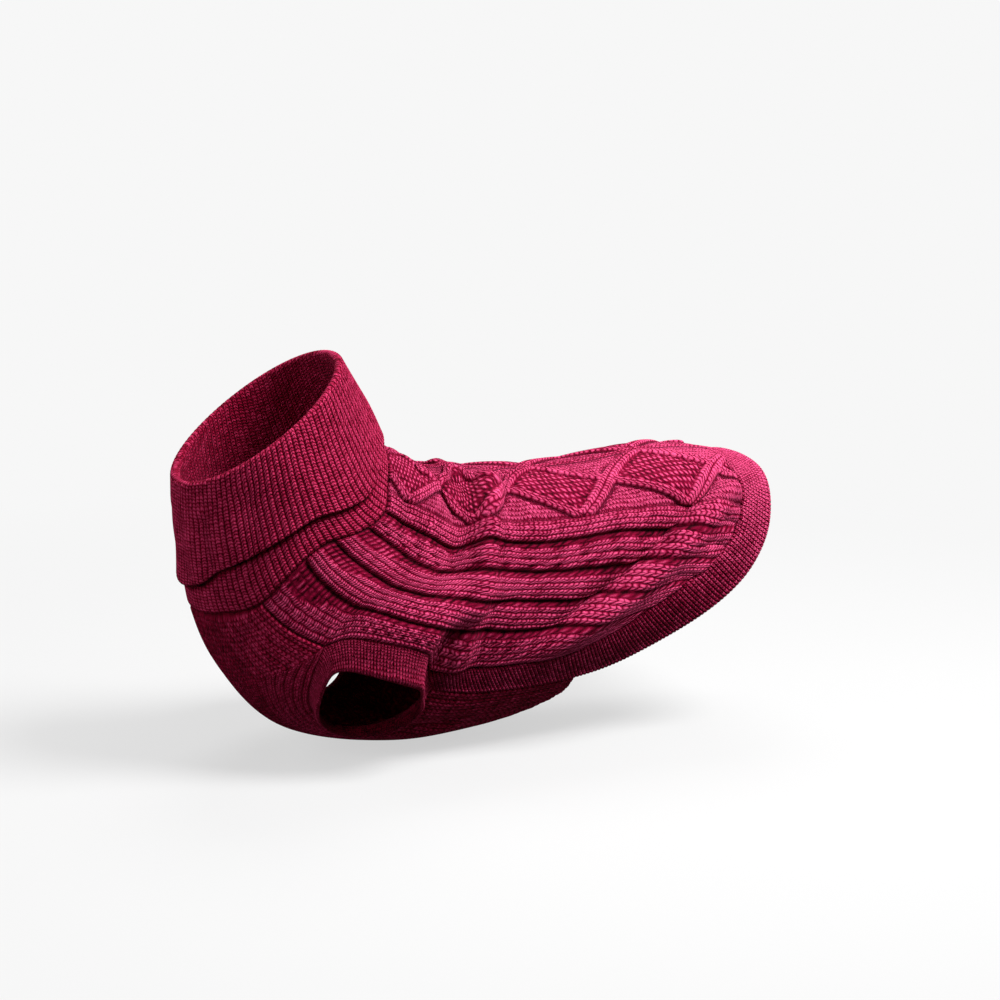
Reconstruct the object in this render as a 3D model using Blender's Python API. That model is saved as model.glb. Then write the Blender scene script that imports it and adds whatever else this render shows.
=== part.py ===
"""Knitted sweater for a long, low dog, in the shape it takes on its wearer.

The garment is a bent tube. Two numbers place a point on it: its station, which
runs from the rim of the polo collar (0) along the neck and the trunk to the
rump (10), and its angle round the tube in degrees, from the middle of the back
(0) to the middle of the belly (180), positive on the wearer's left. Each
knitted piece is a patch of that tube between seams, given as curves in those
two numbers, and becomes a wall with a plain inside and a ribbed or cabled
outside.

The front is toward -Y, the wearer's left is +X, and +Z is up. The origin is
the point on the inside of the back, over the withers, where it is held.
Lengths are in millimetres until the meshes are made.
"""
from collections import namedtuple

import bpy
import numpy as np

OBJECT_NAME = "dog_sweater"
METRES = 0.001              # one millimetre

# The knit
WALL = 2.2                  # thinnest knit, in the valleys and between ribs
SEAM_GAP = 0.6              # left between two pieces that are sewn together
RIB_RISE = 1.2              # ribs of the collar and the hem, above their valleys
PLAIN_RISE = 0.5            # plain knit, above the purl valleys between the stripes
STRIPE_RISE = 1.6           # crown of a stripe
CABLE_RISE = 2.2            # two-stitch cables that cross into diamonds
PLAIT_RISE = 0.7            # strands of the plaited stripe, up and down
RIB_PITCH = 5.0             # ribs of the hem
COLLAR_RIBS = 72

# Grids: intervals of the outer surface, all even
BACK_ROWS = 38
CHEST_ROWS = 24
CHEST_COLUMNS = 24
HEM_ROWS = 2
CUFF_ROWS = 3

# The form of the tube: a row for each section across it. The spine and keel
# points are the top and the bottom of the section, and half_width is its
# largest reach to the side, found at the share widest_at of the way down.
Section = namedtuple("Section", "station spine_y spine_z keel_y keel_z half_width widest_at fullness")
BODY = (
    Section(0, -49, 72, -149, -4, 56, 0.50, 0.00),
    Section(1, -33, 40, -147, -50, 59, 0.50, 0.00),
    Section(2, -14, 9, -143, -92, 63, 0.48, 0.00),
    Section(3, 10, -6, -124, -136, 69, 0.46, 0.02),
    Section(4, 32, -14, -85, -177, 74, 0.45, 0.02),
    Section(5, 60, -16, -15, -195, 76, 0.45, 0.02),
    Section(6, 100, -19, 50, -193, 75, 0.45, 0.02),
    Section(7, 145, -18, 112, -181, 74, 0.46, 0.03),
    Section(8, 190, -13, 175, -165, 72, 0.47, 0.04),
    Section(9, 235, -16, 235, -152, 70, 0.48, 0.05),
    Section(10, 280, -26, 285, -142, 67, 0.50, 0.05),
)

# Seams and edges, as points (station, angle) on the left half of the tube
Place = namedtuple("Place", "station angle")
NECK_SEAM = (
    Place(2.03, 0), Place(2.10, 24), Place(2.28, 43), Place(2.52, 62), Place(2.38, 74),
    Place(2.05, 91), Place(2.02, 102), Place(2.09, 114), Place(2.20, 129), Place(2.08, 153),
    Place(2.00, 180),
)
NECK_CORNER = 129           # angle where the side seam meets the neck seam
SIDE_SEAM = (Place(2.20, 129), Place(2.75, 124.5), Place(3.20, 119))
ARMHOLE = (
    Place(3.20, 119), Place(3.31, 112), Place(3.50, 107.5), Place(3.80, 104),
    Place(4.15, 102.5), Place(4.45, 104.5), Place(4.70, 112),
)
LEG_INSIDE = (
    Place(3.20, 119), Place(3.38, 129), Place(3.70, 140), Place(4.05, 147),
    Place(4.42, 149), Place(4.74, 138), Place(4.87, 120),
)

# The ribbed hem, from the middle of the back round the rump, forward along the
# belly and up to the back of the leg: its free edge and its seam with the back.
HemStation = namedtuple("HemStation", "edge_station edge_angle seam_station seam_angle")
HEM = (
    HemStation(9.70, 0, 9.08, 0),
    HemStation(9.65, 30, 9.05, 25),
    HemStation(9.52, 58, 9.02, 46),
    HemStation(9.35, 78, 8.93, 65),
    HemStation(9.03, 97, 8.62, 82),
    HemStation(8.55, 113, 8.08, 95.5),
    HemStation(8.00, 124.5, 7.52, 103.5),
    HemStation(7.42, 131, 7.03, 109),
    HemStation(6.85, 131, 6.56, 112.5),
    HemStation(6.40, 128.5, 6.10, 113),
    HemStation(5.90, 126, 5.58, 112),
    HemStation(5.35, 123.5, 5.10, 111.5),
    HemStation(4.87, 120, 4.70, 112),
)
HEM_CORNER = 8              # row of HEM where the rump turns into the belly

# Middle line of the chest and belly piece beside the rows of its side edge
CHEST_KEEL = (2.00, 2.60, 3.12, 3.40, 3.75, 4.05, 4.35, 4.62, 4.87, 5.10, 5.32, 5.55, 5.75)

# The side edge without the sleeve's notch, which the stripes run along
CalmEdge = namedtuple("CalmEdge", "length angle")
CALM_EDGE = (
    CalmEdge(0.00, 129), CalmEdge(0.26, 119.5), CalmEdge(0.45, 109), CalmEdge(0.60, 108),
    CalmEdge(0.80, 111), CalmEdge(1.00, 112.5),
)

# Long stripes of the back: where their edges lie across the piece, as a share
# of its half, at the neck, at mid-length and at the hem
Stripe = namedtuple("Stripe", "outer_edge at_neck at_middle at_hem kind")
STRIPES = (
    Stripe(0.03, 0.03, 0.03, 0.03, "plain"),
    Stripe(0.44, 0.37, 0.44, 0.52, "diamonds"),
    Stripe(0.54, 0.46, 0.54, 0.64, "ribs"),
    Stripe(0.66, 0.55, 0.66, 0.75, "plait"),
    Stripe(0.765, 0.67, 0.765, 0.84, "ribs"),
    Stripe(0.87, 0.79, 0.87, 0.91, "ribs"),
    Stripe(1.00, 1.00, 1.00, 1.00, "seed"),
)
DIAMOND_ROWS = 10           # length of a diamond, in grid rows
FIRST_CROSSING = 6          # grid row of the first crossing of the cables
SLEEVE_ROWS = (10, 22)      # grid rows of the back between which the sleeve's edge runs
CHEST_LEG_ROWS = (4, 16)    # grid rows of the chest between which the leg's edge runs

# The sleeve: the leg pushes the side of the back piece outward
SLEEVE_PUSH = 19
SLEEVE_STARTS = (2.2, 4.0)
SLEEVE_ENDS = (4.26, 4.74)
SLEEVE_ANGLES = (58, 100, 122, 148)

# Cuffs
CUFF_RIBS = 36
CUFF_WALL = 1.6             # thinnest knit of a cuff
CUFF_RISE = 0.9             # its ribs, above their valleys
CUFF_REACH = 6              # how far it follows the cloth's slope before it hangs
CUFF_INNER_DEPTH = 12       # its depth under the belly
CUFF_PASSES = 20            # how much its lower edge is evened out
# Depth of a cuff round the leg, in turns from its front over its outer side
CuffDepth = namedtuple("CuffDepth", "turn depth")
CUFF = (
    CuffDepth(0.00, 12), CuffDepth(0.12, 18), CuffDepth(0.28, 21), CuffDepth(0.44, 20),
    CuffDepth(0.58, 15), CuffDepth(0.78, 14), CuffDepth(1.00, 12),
)

# Folds of the worn cloth: a soft ridge (height above 0) or trough (below 0)
# along a straight run on the tube
Fold = namedtuple("Fold", "station_1 angle_1 station_2 angle_2 width height")
FOLDS = (
    # near side: the drape that falls from the rump forward to the belly
    Fold(8.70, 46, 8.05, 74, 11, -4),
    Fold(8.05, 74, 7.20, 96, 12, -4.5),
    Fold(8.75, 62, 8.00, 88, 10, 2.5),
    # across the side, over the back of the shoulder
    Fold(4.90, 26, 5.25, 96, 10, 3),
    Fold(4.15, 26, 4.35, 72, 12, -2.5),
    Fold(6.95, 50, 7.05, 84, 10, 1.5),
    # bunching behind the collar
    Fold(3.35, -14, 3.50, 26, 10, -3.5),
    Fold(3.50, 26, 4.30, 42, 10, -2.5),
    Fold(4.15, -12, 4.25, 12, 12, 3),
    Fold(5.10, -14, 5.20, 16, 9, -3),
    # hidden side: alike, not the same
    Fold(8.60, -44, 7.80, -78, 11, -4),
    Fold(7.80, -78, 6.90, -96, 12, -3.5),
    Fold(8.60, -64, 7.70, -92, 10, 2.5),
    Fold(4.80, -26, 5.10, -92, 11, 2.5),
    Fold(4.10, -28, 4.20, -76, 12, -2.5),
    Fold(6.40, -40, 6.60, -80, 11, 2),
)
STATION_LENGTH = 48         # rough length of one station, for the folds
DEGREE_LENGTH = 1.3         # rough length of one degree round the tube
COURSE_SAG = 0.5            # rows of knitting hang back on the flanks, in stations

# The collar in section, from the foot of its inner layer up over the rim and
# down to the free edge, then back between the layers: its share of the height
# from the seam (0) to the rim (1), its distance out from the tube, and whether
# it is ribbed. A share of None is the free edge.
CollarLine = namedtuple("CollarLine", "share out ribbed")
COLLAR = (
    CollarLine(0.00, 0.0, False),
    CollarLine(0.35, 0.0, False),
    CollarLine(0.68, 0.0, False),
    CollarLine(0.95, 0.6, False),
    CollarLine(1.00, 3.2, False),
    CollarLine(0.95, 5.9, True),
    CollarLine(0.66, 6.4, True),
    CollarLine(None, 6.9, True),
    CollarLine(None, 4.8, False),
    CollarLine(0.64, 4.2, False),
    CollarLine(0.91, 3.9, False),
    CollarLine(0.91, 2.5, False),
    CollarLine(0.62, 2.2, False),
    CollarLine(0.30, 2.2, True),
    CollarLine(0.00, 2.2, True),
)
# Height of the free edge above the neck seam, as a share of the collar's height
FreeEdge = namedtuple("FreeEdge", "angle share")
FREE_EDGE = (
    FreeEdge(0, 0.06), FreeEdge(45, 0.10), FreeEdge(80, 0.17), FreeEdge(102, 0.21),
    FreeEdge(124, 0.25), FreeEdge(142, 0.19), FreeEdge(160, 0.11), FreeEdge(180, 0.08),
)

Look = namedtuple("Look", "colour roughness")
WOOL = {
    "back_panel": Look((0.36, 0.030, 0.085), 0.9),
    "chest_belly_panel": Look((0.27, 0.016, 0.052), 0.9),
    "collar": Look((0.30, 0.020, 0.062), 0.9),
    "hem_band": Look((0.38, 0.034, 0.092), 0.9),
    "cuff_left": Look((0.34, 0.027, 0.078), 0.9),
    "cuff_right": Look((0.34, 0.027, 0.078), 0.9),
}


# ---------------------------------------------------------------- curves

def smooth(at, knots, values):
    """Value at each place of a smooth curve through the knots."""
    at = np.asarray(at, float)
    knots = np.asarray(knots, float)
    values = np.asarray(values, float)
    spans = np.diff(knots)
    slopes = np.diff(values) / spans
    tangents = np.empty_like(values)
    tangents[0] = slopes[0]
    tangents[-1] = slopes[-1]
    tangents[1:-1] = (slopes[:-1] * spans[1:] + slopes[1:] * spans[:-1]) / (spans[1:] + spans[:-1])
    cell = np.clip(np.searchsorted(knots, at, side="right") - 1, 0, len(knots) - 2)
    share = (at - knots[cell]) / spans[cell]
    square = share * share
    cube = square * share
    return ((2 * cube - 3 * square + 1) * values[cell]
            + (cube - 2 * square + share) * spans[cell] * tangents[cell]
            + (3 * square - 2 * cube) * values[cell + 1]
            + (cube - square) * spans[cell] * tangents[cell + 1])


def ease(value, start, end):
    """0 before start, 1 after end and a smooth step between them."""
    share = np.clip((value - start) / (end - start), 0, 1)
    return share * share * (3 - 2 * share)


def along(places, share):
    """Station and angle at shares 0 to 1 of a seam, its points evenly spread."""
    knots = np.linspace(0, 1, len(places))
    return (smooth(share, knots, [place[0] for place in places]),
            smooth(share, knots, [place[1] for place in places]))


def column(table, name):
    return np.array([getattr(row, name) for row in table], float)


# ---------------------------------------------------------------- the tube

def body(station, angle):
    """Points of the bare tube."""
    station, angle = np.broadcast_arrays(np.asarray(station, float), np.asarray(angle, float))
    stations = column(BODY, "station")
    values = {name: smooth(station, stations, column(BODY, name)) for name in Section._fields[1:]}
    turn = np.radians(angle)
    cosine = np.cos(turn)
    axis_y = values["spine_y"] - values["keel_y"]
    axis_z = values["spine_z"] - values["keel_z"]
    widest = values["widest_at"]
    full = values["fullness"] * (1 + cosine) / 2
    side = values["half_width"] * (np.sin(turn) + full * np.sin(3 * turn)) / (1 - full)
    rise = (cosine - full * np.cos(3 * turn)) / (1 - full)
    height = 1 - widest + np.where(rise > 0, rise * widest, rise * (1 - widest))
    return np.stack([side, values["keel_y"] + axis_y * height, values["keel_z"] + axis_z * height], -1)


def outward(surface, station, angle):
    """Unit normals of a surface given as a function of station and angle."""
    across = surface(station, angle + 0.4) - surface(station, angle - 0.4)
    length = surface(station + 0.012, angle) - surface(station - 0.012, angle)
    normal = np.cross(across, length)
    return normal / np.linalg.norm(normal, axis=-1, keepdims=True)


def fold_height(station, angle):
    """Sum of the soft ridges and troughs of the worn cloth."""
    total = np.zeros(np.broadcast(station, angle).shape)
    for fold in FOLDS:
        run = np.array([(fold.station_2 - fold.station_1) * STATION_LENGTH,
                        (fold.angle_2 - fold.angle_1) * DEGREE_LENGTH])
        x = (station - fold.station_1) * STATION_LENGTH
        y = ((angle - fold.angle_1 + 180) % 360 - 180) * DEGREE_LENGTH
        share = np.clip((x * run[0] + y * run[1]) / (run @ run), 0, 1)
        distance = np.hypot(x - share * run[0], y - share * run[1])
        total = total + fold.height * np.exp(-(distance / fold.width) ** 2)
    return total


def sleeve_push(station, angle):
    """How far the wearer's legs push the cloth out to the side."""
    reach = np.abs(angle)
    lengthwise = ease(station, *SLEEVE_STARTS) * (1 - ease(station, *SLEEVE_ENDS))
    round_it = ease(reach, *SLEEVE_ANGLES[:2]) * (1 - ease(reach, *SLEEVE_ANGLES[2:]))
    return SLEEVE_PUSH * lengthwise * round_it * np.sign(angle)


def worn(station, angle):
    """Points of the inside of the garment, folds and sleeves included."""
    points = body(station, angle)
    points = points + outward(body, station, angle) * fold_height(station, angle)[..., None]
    points[..., 0] += sleeve_push(station, angle)
    return points


def wall(station, angle, thickness):
    """Inside and outside points of the cloth at the given places."""
    inside = worn(station, angle)
    return inside, inside + outward(worn, station, angle) * np.asarray(thickness)[..., None]


# ---------------------------------------------------------------- pieces

def neck_station(angle):
    return smooth(np.abs(angle), column(NECK_SEAM, "angle"), column(NECK_SEAM, "station"))


def stripe_share(spread, length):
    """Share of the half girth at a share of the half piece and of its length."""
    edges = np.concatenate([[0], column(STRIPES, "outer_edge")])
    lines = [np.interp(spread, edges, np.concatenate([[0], column(STRIPES, name)]))
             for name in ("at_neck", "at_middle", "at_hem")]
    return (lines[0] * (1 - length) * (1 - 2 * length)
            + lines[1] * 4 * length * (1 - length)
            + lines[2] * length * (2 * length - 1))


def seams_in_turn(share, joints, curves):
    """Places along curves that follow each other, each from one joint to the next."""
    part = np.clip(np.searchsorted(joints, share, side="right") - 1, 0, len(curves) - 1)
    places = [along(curve, np.clip((share - start) / (end - start), 0, 1))
              for curve, start, end in zip(curves, joints[:-1], joints[1:])]
    return (np.choose(part, [place[0] for place in places]),
            np.choose(part, [place[1] for place in places]))


def hem_seam(share):
    """The seam of hem and back, from the middle of the back (0) to the leg (1)."""
    return along([(row.seam_station, row.seam_angle) for row in HEM], share)


def hem_edge(share):
    """The free edge of the hem, then its seam with the belly, up to the leg."""
    return along([(row.edge_station, row.edge_angle) for row in HEM], share)


def back_side(length):
    """Side of the back piece: its seam, its sleeve edge and its hem seam."""
    hem = [(row.seam_station, row.seam_angle) for row in HEM[:HEM_CORNER - 1:-1]]
    joints = (0, SLEEVE_ROWS[0] / BACK_ROWS, SLEEVE_ROWS[1] / BACK_ROWS, 1)
    return seams_in_turn(length, joints, (SIDE_SEAM, ARMHOLE, hem))


def chest_side(length):
    """Side of the chest piece: its seam, the leg's edge and the seam with the hem."""
    hem = [(row.edge_station, row.edge_angle) for row in HEM[:HEM_CORNER - 1:-1]]
    return seams_in_turn(length, (0, 2 / 12, 8 / 12, 1), (SIDE_SEAM, LEG_INSIDE, hem))


def back_places(length, spread):
    """Station and angle on the back piece, from neck to hem and from -1 to 1 across."""
    half = np.abs(spread)
    edge_station, edge_angle = back_side(length)
    calm = smooth(length, column(CALM_EDGE, "length"), column(CALM_EDGE, "angle"))
    angle = (calm + (edge_angle - calm) * ease(half, 0.85, 1)) * stripe_share(half, length)
    neck = neck_station(NECK_CORNER * stripe_share(half, 0 * length))
    corner = HEM_CORNER / (len(HEM) - 1)
    shares = np.linspace(0, corner, 200)
    stations, angles = hem_seam(shares)
    hem = hem_seam(np.interp(angles[-1] * stripe_share(half, 0 * length + 1), angles, shares))[0]
    straight = neck + (hem - neck) * length
    leg = ARMHOLE[-1].station
    in_front = neck + (edge_station - SIDE_SEAM[0].station) * (leg - neck) / (leg - SIDE_SEAM[0].station)
    behind = leg + (edge_station - leg) * (hem - leg) / (stations[-1] - leg)
    beside = np.where(edge_station < leg, in_front, behind)
    sag = COURSE_SAG * 6.75 * length ** 2 * (1 - length) * ease(half, 0.1, 0.5) * (1 - ease(half, 0.5, 1))
    return straight + (beside - straight) * ease(half, 0.44, 0.92) + sag, angle * np.sign(spread)


def chest_places(length, spread):
    """Station and angle on the chest and belly piece, from neck to rear edge."""
    half = np.abs(spread)
    edge_station, edge_angle = chest_side(length)
    keel = smooth(length, np.linspace(0, 1, len(CHEST_KEEL)), CHEST_KEEL)
    angle = 180 - half * (180 - edge_angle)
    station = keel + (edge_station - keel) * ease(half, 0, 0.85)
    station = np.where(length == 0, neck_station(angle), station)
    return station, np.where(spread < 0, -angle, angle)


def cable_height(row, spread):
    """Two zigzags of cable on each half of the back, which cross into diamonds."""
    inner = STRIPES[0].outer_edge
    outer = STRIPES[1].outer_edge
    across = (np.abs(spread) - (inner + outer) / 2) / ((outer - inner) / 2)
    phase = (row - FIRST_CROSSING) / DIAMOND_ROWS
    zigzag = 1 - np.abs(2 * (phase % 1) - 1)
    distance = np.abs(np.abs(across) - zigzag)
    return CABLE_RISE * np.clip(1 - distance * DIAMOND_ROWS / 2, 0, 1)


def back_relief(length, spread):
    """Height of the knit above the valleys: stripes, plait, plain ground and cables."""
    half = np.abs(spread)
    relief = np.full(np.broadcast(length, spread).shape, PLAIN_RISE)
    inner = 0
    for stripe in STRIPES:
        share = (half - inner) / (stripe.outer_edge - inner)
        inside = (share > 0) & (share < 1.001)
        crown = np.clip(np.minimum(share, 1 - share) / 0.14, 0, 1)
        if stripe.kind == "ribs":
            relief = np.where(inside, STRIPE_RISE * crown, relief)
        elif stripe.kind == "plait":
            strand = np.cos(length * BACK_ROWS * np.pi / 2) * np.sign(0.5 - share)
            relief = np.where(inside, (STRIPE_RISE + PLAIT_RISE * strand) * crown, relief)
        inner = stripe.outer_edge
    relief = np.where(np.isclose(half, STRIPES[1].outer_edge), 0, relief)
    return relief + cable_height(length * BACK_ROWS, spread)


# ---------------------------------------------------------------- meshes

class Cloth:
    """Vertices and faces of one closed wall, in millimetres."""

    def __init__(self):
        self.points = []
        self.faces = []

    def add(self, points):
        """Adds a grid or a line of points and returns their numbers."""
        flat = np.asarray(points).reshape(-1, 3)
        numbers = np.arange(len(self.points), len(self.points) + len(flat))
        self.points.extend(flat)
        return numbers.reshape(np.asarray(points).shape[:-1])

    def quads(self, a, b, c, d, lift=None):
        """Two triangles for each quad a b c d, over its higher or shorter diagonal."""
        points = np.array(self.points)
        corners = [np.ravel(corner) for corner in (a, b, c, d)]
        place = [points[corner] for corner in corners]
        gain = (np.linalg.norm(place[1] - place[3], axis=1)
                - np.linalg.norm(place[0] - place[2], axis=1))
        if lift is not None:
            high = [np.ravel(part) for part in lift]
            gain = gain + 8 * (high[0] + high[2] - high[1] - high[3])
        for quad, first in zip(zip(*corners), gain > 0):
            p, q, r, s = (int(corner) for corner in quad)
            self.faces += [(p, q, r), (p, r, s)] if first else [(p, q, s), (q, r, s)]

    def build(self, name):
        """Makes the Blender object, its faces outward, with its own material."""
        faces = np.array(self.faces)
        used, faces = np.unique(faces, return_inverse=True)
        faces = faces.reshape(-1, 3)
        points = np.array(self.points)[used]
        a, b, c = (points[faces[:, corner]] for corner in range(3))
        if np.sum(a * np.cross(b, c)) < 0:
            faces = faces[:, ::-1]
        mesh = bpy.data.meshes.new(name)
        mesh.from_pydata((points * METRES).tolist(), [], faces.tolist())
        mesh.validate()
        mesh.shade_smooth()
        material = bpy.data.materials.new(name + "_wool")
        material.use_nodes = True
        shader = material.node_tree.nodes["Principled BSDF"]
        shader.inputs["Base Color"].default_value = (*WOOL[name].colour, 1)
        shader.inputs["Roughness"].default_value = WOOL[name].roughness
        shader.inputs["Metallic"].default_value = 0
        mesh.materials.append(material)
        piece = bpy.data.objects.new(name, mesh)
        return piece


def pull_in(grid, distance):
    """Moves the border of a grid of points inward along its own lines."""
    grid = np.array(grid)
    for edge, inner in ((0, 1), (-1, -2)):
        for border, beside in ((grid[edge], grid[inner]), (grid[:, edge], grid[:, inner])):
            step = beside - border
            border += step * (distance / np.linalg.norm(step, axis=-1, keepdims=True))
    return grid


def border_loop(numbers):
    """Numbers of a grid's border, once round."""
    return np.concatenate([numbers[0, :-1], numbers[:-1, -1], numbers[-1, :0:-1], numbers[:0:-1, 0]])


def panel(name, length, spread, places, relief):
    """A sewn piece: a fine outside, and an inside with every second column."""
    station, angle = places(length[:, None], spread[None, :])
    lift = relief(length[:, None], spread[None, :])
    inside, outside = wall(station, angle, WALL + lift)
    inside = pull_in(inside, SEAM_GAP / 2)
    outside = pull_in(outside, SEAM_GAP / 2)
    cloth = Cloth()
    outer = cloth.add(outside)
    inner = cloth.add(inside)
    corner_lift = (lift[:-1, :-1], lift[:-1, 1:], lift[1:, 1:], lift[1:, :-1])
    cloth.quads(outer[:-1, :-1], outer[:-1, 1:], outer[1:, 1:], outer[1:, :-1], corner_lift)
    coarse_inside(cloth, inner)
    rim_out = border_loop(outer)
    rim_in = border_loop(inner)
    cloth.quads(np.roll(rim_out, -1), rim_out, rim_in, np.roll(rim_in, -1))
    return cloth.build(name)


def coarse_inside(cloth, inner):
    """Faces over every row and every second column of a grid, and all of its border."""
    rows, columns = inner.shape
    points = np.array(cloth.points)
    for row in range(rows - 1):
        for col in range(0, columns - 1, 2):
            loop = [inner[row, col], inner[row, col + 2], inner[row + 1, col + 2], inner[row + 1, col]]
            if row == 0:
                loop.insert(1, inner[row, col + 1])
            if row == rows - 2:
                loop.insert(-1, inner[row + 1, col + 1])
            cloth.faces += split(points, [int(number) for number in loop[::-1]])


def split(points, loop):
    """Triangles that fill a small loop, from the corner that shapes them best."""
    best = None
    for start in range(len(loop)):
        turned = loop[start:] + loop[:start]
        fan = [(turned[0], second, third) for second, third in zip(turned[1:-1], turned[2:])]
        worst = min(shape_of(*(points[number] for number in triangle)) for triangle in fan)
        if best is None or worst > best[0]:
            best = (worst, fan)
    return best[1]


def shape_of(a, b, c):
    """Area over the square of the longest side: 0 for a sliver."""
    area = np.linalg.norm(np.cross(b - a, c - a))
    return area / max(((b - a) @ (b - a), (c - b) @ (c - b), (a - c) @ (a - c)))


def ring(name, lines):
    """A closed band round a hole, from closed lines of points in turn round its section.

    Each line has either the full number of points or half as many.
    """
    cloth = Cloth()
    numbers = [cloth.add(line) for line in lines]
    most = max(len(line) for line in lines)
    for this, following in zip(numbers, numbers[1:] + numbers[:1]):
        ahead = np.roll(this, -1)
        ahead_following = np.roll(following, -1)
        if len(this) == len(following):
            cloth.quads(this, following, ahead_following, ahead)
        elif len(this) == most:
            mid = this[1::2]
            start = this[0::2]
            end = np.roll(start, -1)
            for p, m, q, a, b in zip(start, mid, end, following, ahead_following):
                cloth.faces += [(p, a, m), (a, b, m), (m, b, q)]
        else:
            mid = following[1::2]
            start = following[0::2]
            end = np.roll(start, -1)
            for p, q, a, m, b in zip(this, ahead, start, mid, end):
                cloth.faces += [(p, a, m), (p, m, q), (q, m, b)]
    return cloth.build(name)


# ---------------------------------------------------------------- the pieces

def back_columns():
    """Places across the back: even over the diamonds, four to each stripe beyond."""
    half = [0, STRIPES[0].outer_edge]
    inner = STRIPES[0].outer_edge
    for stripe in STRIPES[1:]:
        if stripe.kind == "diamonds":
            shares = np.arange(1, DIAMOND_ROWS + 1) / DIAMOND_ROWS
        elif stripe.kind == "seed":
            shares = (0.2, 0.6, 1.0)
        else:
            shares = (0.14, 0.5, 0.86, 1.0)
        half += [inner + (stripe.outer_edge - inner) * share for share in shares]
        inner = stripe.outer_edge
    half = np.array(half)
    return np.concatenate([-half[:0:-1], half])


def back_panel():
    return panel("back_panel", np.linspace(0, 1, BACK_ROWS + 1), back_columns(),
                 back_places, back_relief)


def chest_relief(length, spread):
    """Broad ribs along the chest and belly, every second line of the grid."""
    line = np.round((spread + 1) / 2 * CHEST_COLUMNS)
    return np.where(line % 2 == 1, 1.0, 0.0) + 0 * length


def chest_belly_panel():
    return panel("chest_belly_panel", np.linspace(0, 1, CHEST_ROWS + 1),
                 np.linspace(-1, 1, CHEST_COLUMNS + 1), chest_places, chest_relief)


def even_shares(curve, count):
    """Shares of a curve on both sides, -1 to 1, whose points lie evenly apart."""
    trial = np.linspace(-1, 1, 1201)
    station, angle = curve(np.abs(trial))
    points = worn(station, angle * np.sign(trial))
    steps = np.linalg.norm(np.diff(points, axis=0), axis=1)
    run = np.concatenate([[0], np.cumsum(steps)])
    return run[-1], np.interp(np.linspace(0, run[-1], count + 1), run, trial)


def hem_band():
    length, _ = even_shares(hem_edge, 2)
    ribs = 2 * round(length / RIB_PITCH / 2)
    _, shares = even_shares(hem_edge, 2 * ribs)

    def places(across, share):
        seam = hem_seam(np.abs(share))
        edge = hem_edge(np.abs(share))
        return (seam[0] + (edge[0] - seam[0]) * across,
                (seam[1] + (edge[1] - seam[1]) * across) * np.sign(share))

    def relief(across, share):
        line = np.arange(len(shares))[None, :]
        return np.where(line % 2 == 1, RIB_RISE, 0.0) + 0 * across

    return panel("hem_band", np.linspace(0, 1, HEM_ROWS + 1), shares, places, relief)


def collar():
    angles = np.linspace(0, 360, 2 * COLLAR_RIBS, endpoint=False)
    signed = (angles + 180) % 360 - 180
    base = neck_station(signed)
    edge = smooth(np.abs(signed), column(FREE_EDGE, "angle"), column(FREE_EDGE, "share"))
    height = np.linalg.norm(worn(base, signed) - worn(0 * base, signed), axis=-1)
    lines = []
    for line in COLLAR:
        share = edge if line.share is None else np.full_like(edge, line.share)
        share = np.maximum(share, SEAM_GAP / 2 / height)
        ribs = RIB_RISE * (np.arange(len(angles)) % 2) if line.ribbed else 0 * angles
        points = wall(base * (1 - share), signed, line.out + ribs)[1]
        lines.append(points if line.ribbed else points[::2])
    return ring("collar", lines)


def leg_hole(side, count):
    """Points, stations and angles evenly round the hole for a leg, from its front.

    They lie on the straight edges between the grid points of the pieces round it.
    """
    back_rows = np.arange(SLEEVE_ROWS[0], SLEEVE_ROWS[1] + 1) / BACK_ROWS
    chest_rows = np.arange(CHEST_LEG_ROWS[1], CHEST_LEG_ROWS[0] - 1, -1) / CHEST_ROWS
    parts = [back_places(back_rows, np.full(len(back_rows), float(side))),
             chest_places(chest_rows, np.full(len(chest_rows), float(side)))]
    station = np.concatenate([part[0] for part in parts])
    angle = np.concatenate([part[1] for part in parts])
    loop = np.column_stack([worn(station, angle), station, angle])
    loop = np.vstack([loop[:-1], loop[:1]])
    steps = np.linalg.norm(np.diff(loop[:, :3], axis=0), axis=1)
    run = np.concatenate([[0], np.cumsum(steps)])
    wanted = np.linspace(0, run[-1], count, endpoint=False)
    loop = np.column_stack([np.interp(wanted, run, loop[:, axis]) for axis in range(5)])
    return loop[:, :3], loop[:, 3], loop[:, 4]


def round_ring(values, passes):
    """Evens out values round a ring."""
    for _ in range(passes):
        values = values / 2 + (np.roll(values, 1, axis=0) + np.roll(values, -1, axis=0)) / 4
    return values


def unit(vectors):
    return vectors / np.linalg.norm(vectors, axis=-1, keepdims=True)


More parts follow.
